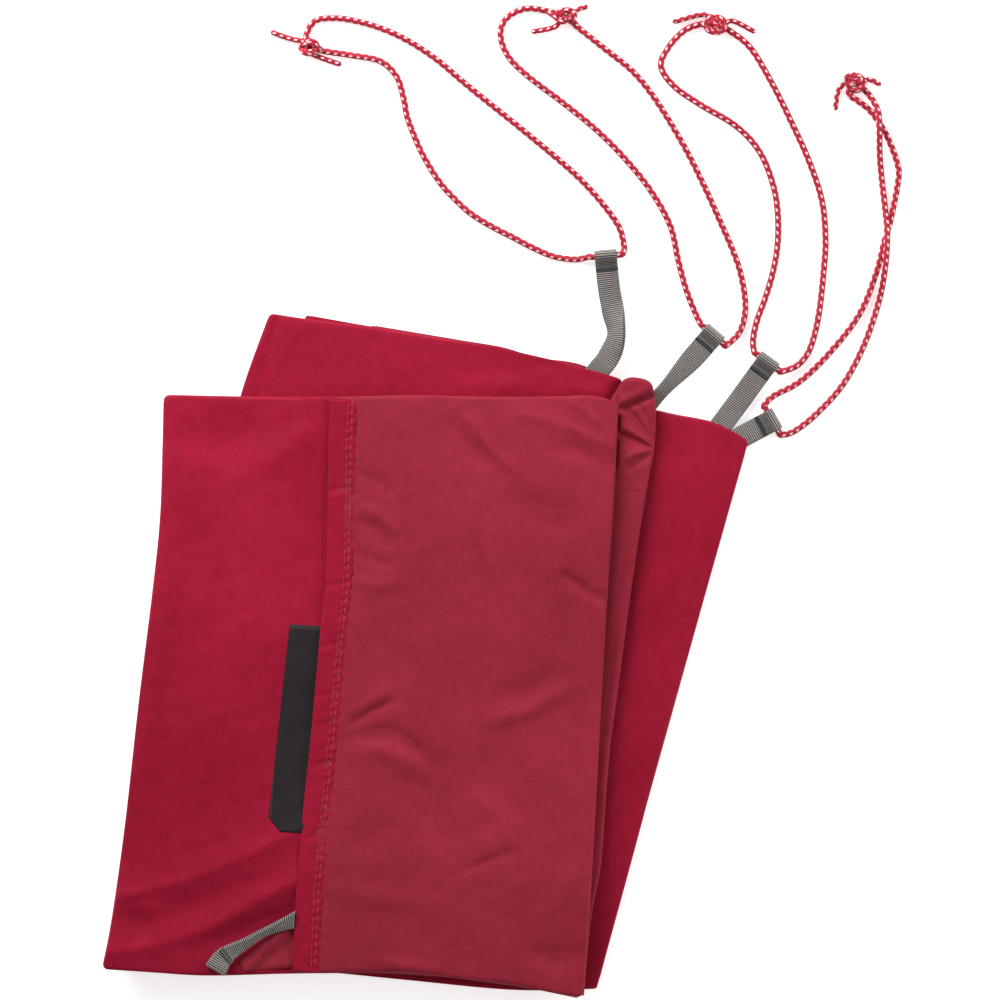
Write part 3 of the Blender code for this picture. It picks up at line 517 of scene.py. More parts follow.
middle_left = upper.run((-197.0, 4.0), (-188.0, 112.0), (-184.0, 236.0))
middle_right = upper.run((0.2, 1.0), (1.6, 33.0), (3.4, 48.0), (4.5, 60.0), (5.2, 103.0), (7.4, 133.0),
                         (9.7, 165.0), (12.4, 197.0), (15.4, 226.0), (15.2, 240.0), (14.0, 248.0))
middle_top = [middle_left[-1], *upper.run((-120.0, 241.0), (-20.0, 246.0)), middle_right[-1]]
middle_bottom = [middle_left[0], *upper.run((-120.0, 5.0), (-77.0, 6.4)), middle_right[0]]
as_cloth(
    "middle_fold",
    fold_skin((middle_left, middle_right, middle_bottom, middle_top), base=8.35, thick=1.8, cell=1.6, rim=1.4,
              corner=2.6, packet=upper, rise=middle_rise),
    matt_back, "lower_packet", ["middle_layers"],
)

# The bunched corner: the top of the middle layers pushed into a soft roll beside the flap's crease. One
# bright fold crosses it, and creases run to a pinched point on its right edge.


def bunch_rise(x, y):
    """The bunched roll. Its crests stay low enough for the flap to lie over them when it is turned open."""
    roll = 1.3 + ridges(x, y, [
        ([(-4.0, 247.5), (5.0, 253.0), (14.5, 258.4)], 1.2, 1.5, True, True),
        ([(-1.5, 246.0), (7.0, 250.6), (14.0, 253.6)], 1.5, -1.9, False, True),
        ([(0.5, 241.4), (8.0, 237.8), (16.6, 232.4)], 1.1, 1.6, True, True),
        ([(4.0, 247.0), (9.5, 241.6), (16.6, 233.0)], 1.1, -2.0, True, True),
        ([(9.0, 250.5), (13.4, 243.0), (16.4, 234.4)], 0.9, -1.0, True, True),
        ([(2.0, 236.6), (9.0, 234.4), (16.4, 231.8)], 1.4, -1.8, True, True),
        ([(2.6, 225.4), (7.4, 229.0), (16.4, 231.8)], 1.0, 1.1, True, True),
        ([(5.6, 221.5), (10.6, 226.2), (16.4, 230.8)], 1.5, -1.3, True, True),
        ([(1.0, 256.6), (7.0, 258.8), (13.0, 260.0)], 2.4, 0.8),
    ])
    over = np.maximum(roll - 1.2, 0)
    roll += 0.9 * np.tanh(over / 0.9) - over
    grown = np.clip((y - 216.0) / 14.0, 0, 1)
    under_the_flap = np.clip((x + 0.4) / 2.2, 0.25, 1)
    return np.maximum(roll, -0.6) * grown * grown * (3 - 2 * grown) * under_the_flap + 0.08 * rumple(x, y, 7.0, 23)


bunch_left = upper.run((-3.4, 214.0), (-3.6, 234.0), (-3.2, 250.0), (-1.0, 255.0), (1.2, 259.9))
bunch_right = upper.run((13.8, 212.5), (15.9, 228.0), (16.4, 233.0), (16.2, 246.0), (15.3, 253.0),
                        (13.8, 259.4))
bunch_top = [bunch_left[-1], *upper.run((5.0, 261.2), (10.0, 260.9)), bunch_right[-1]]
as_cloth(
    "bunched_corner",
    fold_skin((bunch_left, bunch_right, [bunch_left[0], bunch_right[0]], bunch_top), base=8.6, thick=1.7,
              cell=0.4, rim=1.6, corner=2.0, packet=upper, rise=bunch_rise,
              sink=lambda x, y: 3.6 * np.clip((x - 0.9) / 0.8, 0, 1) * np.clip((y - 222.0) / 10.0, 0, 1)),
    matt_back, "lower_packet", ["gathered_corner"],
)

# The upper packet: two folds below, then the front panel, whose left part shows with the printed patch.


def upper_sides(inset, sway=0.0):
    """Edges of one fold of the upper packet, drawn in by inset and swayed a little from its neighbours."""
    left = upper.run((-202.0 + inset, 0.2 + inset), (-199.2 + inset, 21.0), (-196.0 + inset + sway, 60.0),
                     (-193.2 + inset, 113.0), (-190.2 + inset - sway, 160.0), (-188.9 + inset, 190.0),
                     (-189.6 + inset, 220.0), (-190.4 + inset, 242.2 - inset))
    right = upper.run((-inset, 0.2 + inset), (-inset + sway, 90.0), (-inset - sway, 170.0),
                      (-inset, 250.0 - inset))
    bottom = [left[0], *upper.run((-185.0, 0.3 + inset), (-158.0, 0.2 + inset), (-119.0, 3.4 + inset),
                                  (-77.0, 5.6 + inset), (-37.0, 4.5 + inset)), right[0]]
    top = [left[-1], *upper.run((-154.0, 243.6 - inset), (-121.0, 245.6 - inset), (-91.0, 247.6 - inset),
                                (-50.0, 249.2 - inset)), right[-1]]
    return left, right, bottom, top


as_cloth(
    "back_fold", fold_skin(upper_sides(0.8, 0.3), base=10.5, thick=1.0, cell=6.0, rim=0.7, corner=2.6),
    coated_face, "upper_packet", ["back_panel"],
)
as_cloth(
    "upper_fold", fold_skin(upper_sides(1.3, -0.4), base=11.65, thick=1.1, cell=6.0, rim=0.7, corner=2.6),
    matt_back, "upper_packet", ["upper_layers"],
)


def front_rise(x, y):
    """The front panel: a broad valley down its left side, and pulled folds above the bottom strap."""
    height = ridges(x, y, [
        ([(-164, 199), (-176, 165), (-180, 135), (-183, 93), (-188, 59)], 9.0, -0.5),
        ([(-186, 225), (-184, 160), (-189, 90), (-194, 40)], 4.0, 0.35),
        ([(-165, 203), (-147, 217), (-119, 233)], 8.0, 0.5),
        ([(-188, 224), (-160, 226), (-140, 232)], 8.0, -0.4),
        ([(-146, 167), (-161, 111), (-169, 73), (-170, 43)], 12.0, 0.4),
        ([(-203, 29), (-170, 39), (-145, 51), (-119, 66)], 7.5, 0.85, True, True),
        ([(-197, 20), (-170, 27), (-142, 40), (-119, 53)], 5.5, -0.35),
        ([(-203, 7), (-179, 12), (-158, 20), (-138, 33), (-117, 46)], 5.0, 0.7, True, True),
        ([(-168, 9), (-150, 17), (-134, 25), (-117, 34)], 4.5, -0.7),
        ([(-190, 31), (-187, 19), (-189, 8)], 4.5, -0.55),
        ([(-198, 27), (-181, 26), (-178, 14)], 3.0, 0.3),
        ([(-140, 18), (-128, 22), (-118, 26)], 3.0, -0.5),
    ])
    height += 0.2 * rumple(x, y, 60.0, 31) + 0.04 * rumple(x, y, 12.0, 32)
    under_the_flap = np.clip((x + 124.0) / 9.0, 0, 1)
    return np.maximum(2.2 * height + 0.4, -0.9) * (1 - 0.8 * under_the_flap)


as_cloth(
    "front_panel",
    fold_skin(upper_sides(0.0), base=12.8, thick=1.1, cell=1.5, rim=1.6, corner=2.8, packet=upper,
              rise=front_rise),
    coated_face, "upper_packet", ["face_panel"],
)
FRONT_TOP = 13.9

# The patch: a plain dark oblong printed on the front panel in one thick coat, with its lower left corner
# cut off. Its right side runs in under the flap. A thin paler line goes round just inside its edge.

patch_finish, patch_tree, patch_place, patch_u, patch_v = finish_nodes("patch_finish")
ink = noise(patch_tree, patch_place, 240.0, 4.0, 0.6)
cloud = noise(patch_tree, patch_place, 30.0, 3.0)
cloth_threads = (patch_u * WEAVE).math("SINE") * (patch_v * WEAVE).math("SINE")
PATCH_HEIGHT = 86.6
LINE_FROM, LINE_TO = 0.7 * MM, 1.1 * MM
from_left, from_top = patch_u, PATCH_HEIGHT * MM - patch_v
outline = (from_left.math("LESS_THAN", LINE_TO) - from_left.math("LESS_THAN", LINE_FROM)) \
    .math("MAXIMUM", from_top.math("LESS_THAN", LINE_TO) - from_top.math("LESS_THAN", LINE_FROM))
ink_colour = mixed(patch_tree, 0.6 * cloud + 0.4 * ink, rgb(36, 31, 35), rgb(52, 47, 49))
ink_colour = mixed(patch_tree, outline * 0.35, ink_colour, rgb(92, 84, 86))
surface(patch_finish, patch_tree, ink_colour, 0.42 + 0.2 * (ink - 0.5),
        ink * (0.05 * MM) + cloth_threads * (0.005 * MM), IOR=1.2)


def straight_grid(left, right, rows, columns):
    """Points between two lines of straight stretches, each row about an even way up both."""
    left, right = (np.array([tuple(point) for point in line]) for line in (left, right))
    marks = np.concatenate([[0], np.cumsum(np.linalg.norm(np.diff(left, axis=0), axis=1))])
    marks = marks / marks[-1]
    levels = np.sort(np.concatenate([np.linspace(0, 1, rows), marks[1:-1]]))
    west = np.stack([np.interp(levels, marks, left[:, k]) for k in (0, 1)], axis=-1)
    west = along_line(west, np.linspace(0, 1, rows))
    east = along_line(right, np.linspace(0, 1, rows))
    s = np.linspace(0, 1, columns)[None, :, None]
    return west[:, None] * (1 - s) + east[:, None] * s


def coat(spots, packet, top_of, lift, thick):
    """A thin closed layer that follows the cloth below it."""
    x, y = packet.local(spots[..., 0], spots[..., 1])
    height = (top_of(x, y) + lift)[..., None] * MM
    face = np.concatenate([spots, height], axis=-1)
    uv = np.stack([x - x.min(), y - y.min()], axis=-1) * MM
    under = face - np.array([0, 0, thick * MM])
    ring = np.stack([np.concatenate([rows[0], rows[1:, -1], rows[-1, -2::-1], rows[-2:0:-1, 0]])
                     for rows in (under, face)])
    ring = np.concatenate([ring, ring[:, :1]], axis=1)
    ring_uv = np.zeros((*ring.shape[:2], 2))
    return [(face, uv, False), (under[:, ::-1], uv[:, ::-1], False), (ring, ring_uv, False)]


patch_left = upper.run((-130.6, 62.2), (-135.9, 67.9), (-131.9, 149.3))
patch_right = upper.run((-105.0, 62.6), (-101.0, 149.3))
patch_spots = straight_grid(patch_left, patch_right, 64, 26)
patch_grids = coat(patch_spots, upper, lambda x, y: FRONT_TOP + front_rise(x, y), 0.12, 0.08)
patch = welded(skin("printed_patch_coat", patch_grids))
patch.data.materials.append(patch_finish)
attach(patch, "upper_packet")
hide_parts("printed_patch")

# The flap: the sheet's hemmed edge, turned over the right part of the front panel. Its matt side shows.
# It is pinned only by its crease, so it lies in soft pulls, and its hem draws it into small puckers.


def free_edge(y):
    """How far left of the crease the flap reaches, at each height up it."""
    known = [(0.0, -121.7), (13.0, -122.3), (31.0, -122.6), (64.0, -122.0), (106.0, -120.2), (149.0, -118.9),
             (168.0, -118.0), (190.0, -118.6), (226.0, -120.2), (250.0, -120.7)]
    return np.interp(y, [k[0] for k in known], [k[1] for k in known])


def flap_settle(x, y):
    """The flap's free edge comes to rest on the front panel, and its crease stands a little proud."""
    inside = np.clip((x - free_edge(y)) / 26.0, 0, 1)
    return -0.62 * (1 - inside * inside * (3 - 2 * inside))


def flap_rise(x, y):
    """The flap's pulls and creases, and the puckers that its seam draws beside the hem."""
    height = ridges(x, y, [
        ([(-106, 107), (-96, 115), (-85, 121)], 2.2, -0.75, True),
        ([(-104, 112), (-94, 120), (-86, 125)], 3.0, 0.45),
        ([(-107, 103), (-87, 106), (-76, 100), (-63, 89)], 3.6, -0.8),
        ([(-104, 97), (-88, 99), (-78, 94), (-68, 86)], 4.5, 0.5),
        ([(-107, 196), (-99, 191), (-91, 183)], 2.4, -0.75, True),
        ([(-106, 201), (-97, 197), (-88, 189)], 2.6, 0.5),
        ([(-108, 214), (-100, 212), (-92, 206)], 2.0, -0.5, True),
        ([(-107, 181), (-98, 178), (-90, 176)], 2.4, -0.35),
        ([(-107, 170), (-98, 168), (-88, 168)], 3.0, 0.45),
        ([(-70, 246), (-60, 236), (-52, 227), (-38, 216)], 2.4, 0.6, True),
        ([(-74, 240), (-62, 228), (-50, 219)], 4.0, -0.5),
        ([(-67, 220), (-59, 206), (-55, 189), (-43, 165)], 2.6, 0.55),
        ([(-60, 216), (-52, 200), (-47, 184)], 4.0, -0.35),
        ([(-46, 209), (-28, 201), (-12, 200)], 6.0, -0.6),
        ([(-40, 243), (-18, 238), (0, 231)], 2.4, 0.5, True, True),
        ([(-18, 249), (-6, 240), (1, 231)], 1.6, 0.5, True, True),
        ([(-30, 232), (-14, 228), (0, 222)], 4.0, -0.5),
        ([(-17, 176), (-8, 170), (1, 167)], 2.2, -0.7, False, True),
        ([(-52, 112), (-29, 119), (-9, 133)], 3.6, 0.6),
        ([(-48, 122), (-30, 128), (-14, 138)], 5.0, -0.4),
        ([(-80, 92), (-64, 70), (-52, 53)], 7.0, -0.75),
        ([(-61, 47), (-46, 54), (-30, 61)], 2.0, -0.5, True),
        ([(-50, 56), (-40, 64), (-30, 74)], 6.0, 0.5),
        ([(-52, 84), (-43, 77), (-35, 70)], 4.5, 0.45),
        ([(-107, 40), (-89, 37), (-58, 35)], 5.0, 0.4),
        ([(-104, 60), (-92, 62), (-80, 70)], 7.0, -0.5),
        ([(-28, 20), (-12, 16), (0, 20)], 5.0, -0.6),
        ([(-88, 11), (-75, 9), (-58, 9)], 2.6, 0.5),
        ([(-20, 30), (-10, 44), (-4, 62)], 4.0, 0.4),
        ([(-8, 88), (-6, 110), (-9, 132)], 3.0, -0.3),
    ])
    from_seam = np.clip((x - free_edge(y) - 8.0) / 9.0, 0, 1)
    puckers = np.sin(2 * math.pi * (y + 0.5 * x) / 4.9 + 1.6 * np.sin(y / 7.0)) * (1 - from_seam) ** 2
    height = np.minimum(1.9 * height + 0.3, 2.2) + 0.2 * puckers
    return height + 0.34 * rumple(x, y, 34.0, 41) + 0.06 * rumple(x, y, 9.0, 42)


flap_left = [upper.at(free_edge(y) + 0.3, y)
             for y in (3.7, 13.0, 31.0, 64.0, 106.0, 149.0, 168.0, 190.0, 226.0, 245.0)]
flap_right = upper.run((-0.1, 0.4), (0.3, 40.0), (-0.1, 100.0), (0.3, 150.0), (-0.3, 170.0), (0.2, 200.0),
                       (0.0, 249.4))
flap_bottom = [flap_left[0], *upper.run((-77.0, 6.2), (-37.0, 4.7), (-12.0, 1.6)), flap_right[0]]
flap_top = [flap_left[-1], *upper.run((-91.0, 247.8), (-50.0, 249.6), (-24.0, 251.4), (-14.0, 252.4),
                                      (-5.6, 251.6)), flap_right[-1]]
as_cloth(
    "flap_cloth",
    fold_skin((flap_left, flap_right, flap_bottom, flap_top), base=14.8, thick=0.8, cell=1.1, rim=1.5,
              corner=2.5, packet=upper, rise=flap_rise, settle=flap_settle),
    matt_back, "flap", ["flap_panel"],
)

# The hem: the flap's edge folded over twice to 11 mm and held by two rows of lockstitch close to its inner
# edge. The seam draws the cloth in, so the hem puffs up a little between one stitch and the next.

HEM_WIDTH = 11.0


def hem_rise(x, y):
    """The hem: a low crown, a trough along the stitches that puffs up between them, and drag lines."""
    across = x - free_edge(y)
    body = ridge(across, y, [(3.4, -20), (3.4, 270)], 4.0, 0.16, False, True)
    seam = np.exp(-(((across - HEM_WIDTH + 2.5) / 1.5) ** 2))
    puff = 0.5 + 0.5 * np.sin(2 * math.pi * y / 3.6)
    drag = np.sin(2 * math.pi * (y - 0.8 * across) / 8.2 + 2.2 * np.sin(y / 13.0))
    drag *= np.clip(across / HEM_WIDTH, 0, 1)
    pulls = sum(ridge(x, y, [(-121.0, y0 - 1.0), (-109.0, y0 + 2.5)], 1.6, -0.35)
                for y0 in (206.0, 166.0, 141.0, 120.0, 108.0, 91.0, 61.0))
    return body - 0.42 * seam + 0.22 * seam * puff + 0.07 * drag + pulls + 0.05 * rumple(x, y, 9.0, 51)


hem_levels = (4.4, 13.0, 31.0, 64.0, 106.0, 149.0, 168.0, 190.0, 226.0, 244.4)
hem_left = [upper.at(free_edge(y), y) for y in hem_levels]
hem_right = [upper.at(free_edge(y) + HEM_WIDTH + 0.3 * math.sin(2 * math.pi * y / 4.9), y)
             for y in np.linspace(hem_levels[0], hem_levels[-1], 197)]
as_cloth(
    "hem_cloth",
    fold_skin((hem_left, hem_right, [hem_left[0], hem_right[0]], [hem_left[-1], hem_right[-1]]), base=15.1,
              thick=0.75, cell=0.55, rim=0.7, corner=0.9, packet=upper, rise=hem_rise),
    coated_face, "flap", ["flap_hem"],
)


def round_skin(line, radius, sides=8, relief=None):
    """A round grid along a line of points, with the thread's own length and the share round it as its UV."""
    ahead = np.gradient(line, axis=0)
    ahead /= np.linalg.norm(ahead, axis=1)[:, None]
    side = [np.cross(ahead[0], [0.0, 0.0, 1.0])]
    for way in ahead[1:]:
        carried = side[-1] - way * (side[-1] @ way)
        side.append(carried / np.linalg.norm(carried))
    side = np.array(side) / np.linalg.norm(side, axis=1)[:, None]
    top = np.cross(side, ahead)
    marks = np.concatenate([[0], np.cumsum(np.linalg.norm(np.diff(line, axis=0), axis=1))])
    turn = np.linspace(0, 2 * math.pi, sides + 1)
    reach = np.broadcast_to(np.asarray(radius, float).reshape(-1, 1), (len(line), sides + 1))
    if relief is not None:
        reach = reach * relief(marks[:, None], turn[None, :] / (2 * math.pi))
    around = side[:, None] * np.cos(turn)[None, :, None] + top[:, None] * np.sin(turn)[None, :, None]
    uv = np.stack(np.broadcast_arrays(marks[:, None], turn[None, :] / (2 * math.pi)), axis=-1)
    return line[:, None] + around * reach[..., None], uv, True


thread_finish, thread_tree, thread_place, thread_u, thread_v = finish_nodes("thread_finish")
twist = (thread_u * 9000.0 + thread_v * 12.6).math("SINE")
thread_colour = mixed(thread_tree, twist * 0.5 + 0.5, rgb(128, 12, 32), rgb(196, 58, 78))
surface(thread_finish, thread_tree, thread_colour, 0.55 + 0.1 * twist, twist * (0.02 * MM), Sheen_Weight=0.2)

STITCH = 2.7
STITCH_PITCH = 3.6
THREAD = 0.34
HEM_TOP = 15.85
for row, inset, first_y in (("outer", 3.3, 6.2), ("inner", 1.6, 7.4)):
    stitches = []
    y = first_y
    while y < 243.0:
        run = []
        for share in np.linspace(0, 1, 7):
            spot_y = y + STITCH * share
            spot_x = free_edge(spot_y) + HEM_WIDTH - inset
            cloth = float(hem_rise(np.array([spot_x]), np.array([spot_y]))[0])
            high = HEM_TOP + cloth + 0.1 - 0.24 * (2 * share - 1) ** 4
            run.append((*upper.at(spot_x, spot_y), high * MM))
        thin_ends = 1 - 0.5 * np.abs(np.linspace(-1, 1, 7)) ** 3
        stitches.append(round_skin(np.array(run), THREAD / 2 * MM * thin_ends, 6))
        y += STITCH_PITCH
    seam = skin(f"hem_stitches_{row}", stitches)
    seam.data.materials.append(thread_finish)
    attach(seam, "flap")
    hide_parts(f"hem_thread_{row}")

# Where the cloth turns round a crease. The flap and the front panel are one cloth that turns round the right
# edge, and the two packets are one cloth that turns round the bottom edge.


def crease_skin(line, low, high, bulge, rows=11):
    """A half round of cloth that runs along a crease from a low edge to a high one."""
    turn = np.linspace(-math.pi / 2, math.pi / 2, rows)
    centre = (low + high) / 2
    half = (high - low) / 2
    ahead = np.gradient(line, axis=0)
    ahead /= np.linalg.norm(ahead, axis=1)[:, None]
    outward = np.stack([ahead[:, 1], -ahead[:, 0]], axis=-1)
    grids = []
    for inset in (0.0, 0.28):
        out = (bulge - inset) * np.cos(turn) * MM
        spots = line[:, None] + outward[:, None] * out[None, :, None]
        height = np.broadcast_to((centre + (half - inset) * np.sin(turn)) * MM, spots.shape[:2])
        grids.append(np.concatenate([spots, height[..., None]], axis=-1))
    marks = np.linspace(0, 0.25, len(line))
    ring = np.concatenate([grids[0], grids[1][:, ::-1], grids[0][:, :1]], axis=1)
    uv = np.stack(np.broadcast_arrays(np.linspace(0, 0.008, ring.shape[1])[None, :], marks[:, None]), axis=-1)
    return ring, uv, True


flap_crease_line = smooth_line(upper.run((-0.5, 1.4), (-0.2, 60.0), (-0.5, 120.0), (-0.6, 170.0), (-0.3, 210.0),
                                         (-0.7, 248.6)), 1.5 * MM)
flap_crease = skin("flap_crease", [crease_skin(flap_crease_line, 12.95, 15.45, 0.95)])
flap_crease.data.materials.append(matt_back)
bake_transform(flap_crease)

bottom_line = smooth_line(upper.run((-2.0, 1.4), (-37.0, 6.0), (-77.0, 7.2), (-119.0, 5.2), (-158.0, 1.8),
                                    (-196.0, 1.6)), 2.0 * MM)
bottom_crease = skin("bottom_crease", [crease_skin(bottom_line, 8.7, 12.3, -1.3)])
bottom_crease.data.materials.append(coated_face)
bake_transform(bottom_crease)

# The tie-out corner: a small folded point of the sheet that sticks out from under the flap at the bottom,
# with its strap lying over it.


def corner_rise(x, y):
    """A sharp fold runs up to the right from the corner's tip."""
    height = ridges(x, y, [
        ([(-142, 3), (-134, 12), (-127, 21)], 1.8, 1.3, True, True),
        ([(-136, 5), (-129, 12), (-121, 19)], 2.4, -0.5, False, True),
        ([(-134, 5), (-124, 8), (-113, 9)], 1.6, 0.4, True, True),
    ])
    return height + 0.06 * rumple(x, y, 8.0, 61)


corner_sides = (
    upper.run((-142.4, 3.0), (-145.4, 7.0)),
    upper.run((-113.4, 6.8), (-113.4, 23.6)),
    upper.run((-142.4, 3.0), (-128.0, 4.9), (-113.4, 6.8)),
    upper.run((-145.4, 7.0), (-138.0, 13.6), (-131.0, 19.8), (-122.0, 22.2), (-113.4, 23.6)),
)
as_cloth(
    "tie_out_fold",
    fold_skin(corner_sides, base=13.95, thick=0.6, cell=0.8, rim=0.6, corner=0.8, packet=upper, rise=corner_rise),
    matt_back, "upper_packet", ["tie_out_corner"],
)

# ---------------------------------------------------------------- webbing tabs
# Five short tabs of ribbed grey webbing, each doubled into an eye and sewn into a fold at its root. A dense
# bar of dark stitching closes each eye. Four carry a cord; the fifth, at the bottom left, is empty.

WEBBING_WIDTH = 9.4
WEBBING = 0.9
TAB_THICK = 2.1
CORD_EYE = 1.65
RIB = 0.85
YARN = 0.8
TACK_BACK = 8.0
SELVEDGE = 0.4

webbing_finish, web_tree, web_place, web_u, web_v = finish_nodes("webbing_finish")
rib = (web_u * (2 * math.pi / (RIB * MM))).math("SINE") * 0.5 + 0.5
yarn = (web_v * (2 * math.pi / (YARN * MM)) + web_u * (math.pi / (RIB * MM))).math("SINE") * 0.5 + 0.5
wool = noise(web_tree, web_place, 900.0, 4.0, 0.7)
dust = noise(web_tree, web_place, 130.0, 3.0)
# The colour follows the ribs' height and is dark in the grooves between them: partly the yarns' own dark and pale,
# partly painted shade in the grooves.
web_tone_and_groove_shade = 1.15 * rib + 0.2 * yarn * rib + 0.5 * wool + 0.4 * dust - 0.68
web_colour = mixed(web_tree, web_tone_and_groove_shade, rgb(17, 15, 18), rgb(172, 165, 159))
surface(webbing_finish, web_tree, web_colour, 0.8 + 0.1 * wool,
        rib * (0.10 * MM) + yarn * (0.05 * MM) + wool * (0.10 * MM), Sheen_Weight=0.25)

bar_finish, bar_tree, bar_place, bar_u, bar_v = finish_nodes("bar_finish")
ply = (bar_u * 11000.0 + bar_v * 12.6).math("SINE")
surface(bar_finish, bar_tree, mixed(bar_tree, ply * 0.5 + 0.5, rgb(34, 34, 38), rgb(84, 82, 86)), 0.6 + 0.1 * ply,
        ply * (0.02 * MM), Sheen_Weight=0.2)


class Tab:
    """One tab, in millimetres. path is the run of its middle as offsets from its root, bases the height of its
    underside at the root and the tip, and drop the share of its length over which it comes down. It twists by
    that many degrees and is pinched by that share about twist_at, and mitred cuts its root along edge."""

    def __init__(self, root, edge, path, bases, drop, twist=0.0, twist_at=0.5, twist_span=0.3, pinch=0.0,
                 eye=CORD_EYE, mitred=1.0):
        self.root = np.array(root) / MM
        self.edge = np.array(edge.normalized())
        self.line = smooth_line([self.root + np.array(step) for step in path], 0.2)
        self.length = (len(self.line) - 1) * np.linalg.norm(self.line[1] - self.line[0])
        self.bases, self.drop = bases, drop
        self.twist, self.twist_at, self.twist_span, self.pinch, self.eye = twist, twist_at, twist_span, pinch, eye
        self.mitred = mitred

    def frame(self, s):
        """Middle, direction along, half width across and outward normal at a distance from the root."""
        share = s / self.length
        spot = along_line(self.line, np.clip(share, 0, 1))
        ahead = along_line(self.line, np.clip(share + 0.02, 0.03, 1))
        ahead -= along_line(self.line, np.clip(share - 0.02, 0, 0.97))
        ahead /= np.linalg.norm(ahead)
        if s < 0:
            spot = spot + ahead * s
        fall = min(1.0, max(0.0, s / (self.drop * self.length)))
        base = self.bases[0] + (self.bases[1] - self.bases[0]) * fall * fall * (3 - 2 * fall)
        away = abs(share - self.twist_at) / self.twist_span
        acting = 0.0 if away >= 1.0 else 0.5 + 0.5 * math.cos(math.pi * away)
        turn = math.radians(self.twist) * acting
        side = np.array([ahead[1], -ahead[0]])
        mitre = self.mitred * min(1.0, max(0.0, 1.0 - s / (0.6 * WEBBING_WIDTH)))
        side = side * (1 - mitre) + self.edge / (self.edge @ side) * mitre
        half = side * WEBBING_WIDTH * (1 - self.pinch * acting) / 2
        reach = np.linalg.norm(half)
        wide = np.array([*(half * math.cos(turn)), reach * math.sin(turn)])
        normal = np.array([*(-half / reach * math.sin(turn)), math.cos(turn)])
        middle = np.array([*spot, base + TAB_THICK / 2 * math.cos(turn) + reach * abs(math.sin(turn))])
        return middle, np.array([*ahead, 0.0]), wide, normal

    def ribbon(self, tuck):
        """The doubled ribbon as distances along and heights over its underside, from root to root."""
        eye_at = self.length - self.eye - WEBBING
        ring = self.eye + WEBBING / 2
        low, high = WEBBING / 2, TAB_THICK - WEBBING / 2
        tack = self.length - TACK_BACK
        turn = np.linspace(0, math.pi, 25)
        around = np.column_stack([eye_at + ring * np.sin(turn), low + ring * (1 - np.cos(turn))])
        share = np.linspace(0, 1, 13)[1:]
        slope = np.column_stack([eye_at + (tack + 1.2 - eye_at) * share,
                                 low + 2 * ring + (high - low - 2 * ring) * share * share * (3 - 2 * share)])
        line = np.vstack([[(-tuck, low), (tack, low)], around, slope, [(tack, high), (-tuck, high)]])
        marks = np.concatenate([[0], np.cumsum(np.linalg.norm(np.diff(line, axis=0), axis=1))])
        even = np.linspace(0, marks[-1], round(marks[-1] / 0.17))
        return np.column_stack([np.interp(even, marks, line[:, k]) for k in (0, 1)]), even

    def grid(self, tuck):
        """The ribbon's skin, ribbed across, with its root tucked that far into the fold that it is sewn to."""
        stations, marks = self.ribbon(tuck)
        lean = np.gradient(stations, axis=0)
        lean /= np.linalg.norm(lean, axis=1)[:, None]
        across = np.cos(np.linspace(0, math.pi, 11))
        past_flat = (np.abs(across) - 1) * WEBBING_WIDTH / 2 + SELVEDGE
        edge = np.sqrt(1 - np.clip(past_flat / SELVEDGE, 0, 1) ** 2)
        section = np.concatenate([np.column_stack([across, edge]), np.column_stack([-across, -edge])[1:]])
        limit = self.length - self.eye - WEBBING
        points = np.zeros((len(stations), len(section), 3))
        for k, ((s, h), (along_part, up_part), mark) in enumerate(zip(stations, lean, marks)):
            flat = min(s, limit)
            middle, along, wide, normal = self.frame(flat)
            middle = middle + along * (s - flat) + normal * (h - TAB_THICK / 2)
            outward = normal * along_part - along * up_part
            swell = WEBBING / 2 * (0.94 + 0.14 * math.cos(2 * math.pi * mark / RIB))
            points[k] = middle + section[:, :1] * wide - section[:, 1:] * outward * swell
        uv = np.stack(np.broadcast_arrays(marks[:, None], section[None, :, 0] * WEBBING_WIDTH / 2), axis=-1)
        return points * MM, uv * MM, True

    def bar(self):
        """The bar of stitching: one thread back and forth over the width, on top of the tab."""
        middle, along, wide, normal = self.frame(self.length - TACK_BACK)
        middle = middle + normal * (TAB_THICK / 2 + 0.22)
        steps = np.linspace(-1, 1, 65)
        swing = np.where(np.arange(65) % 2, 0.85, -0.85)
        line = middle + steps[:, None] * wide * 0.97 + swing[:, None] * along
        dense = along_line(line, np.linspace(0, 1, 193))
        return round_skin(dense * MM, 0.20 * MM, 6)


def sewn_tab(number, tab, reach, tuck, bar_cloth=bar_finish):
    """One tab, fixed where it lies, and its bar tack, which rides on its own strap body."""
    cloth = skin(f"tab_{number}", [tab.grid(tuck)])
    cloth.data.materials.append(webbing_finish)
    middle, along, _, _ = tab.frame(reach)
    start = tuple((middle - along * reach) * MM)
    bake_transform(cloth)
    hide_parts(f"strap_{number}")
    bar = skin(f"bar_tack_{number}", [tab.bar()])
    bar.data.materials.append(bar_cloth)
    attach(bar, f"strap_body_{number}")
    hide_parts(f"bartack_{number}")


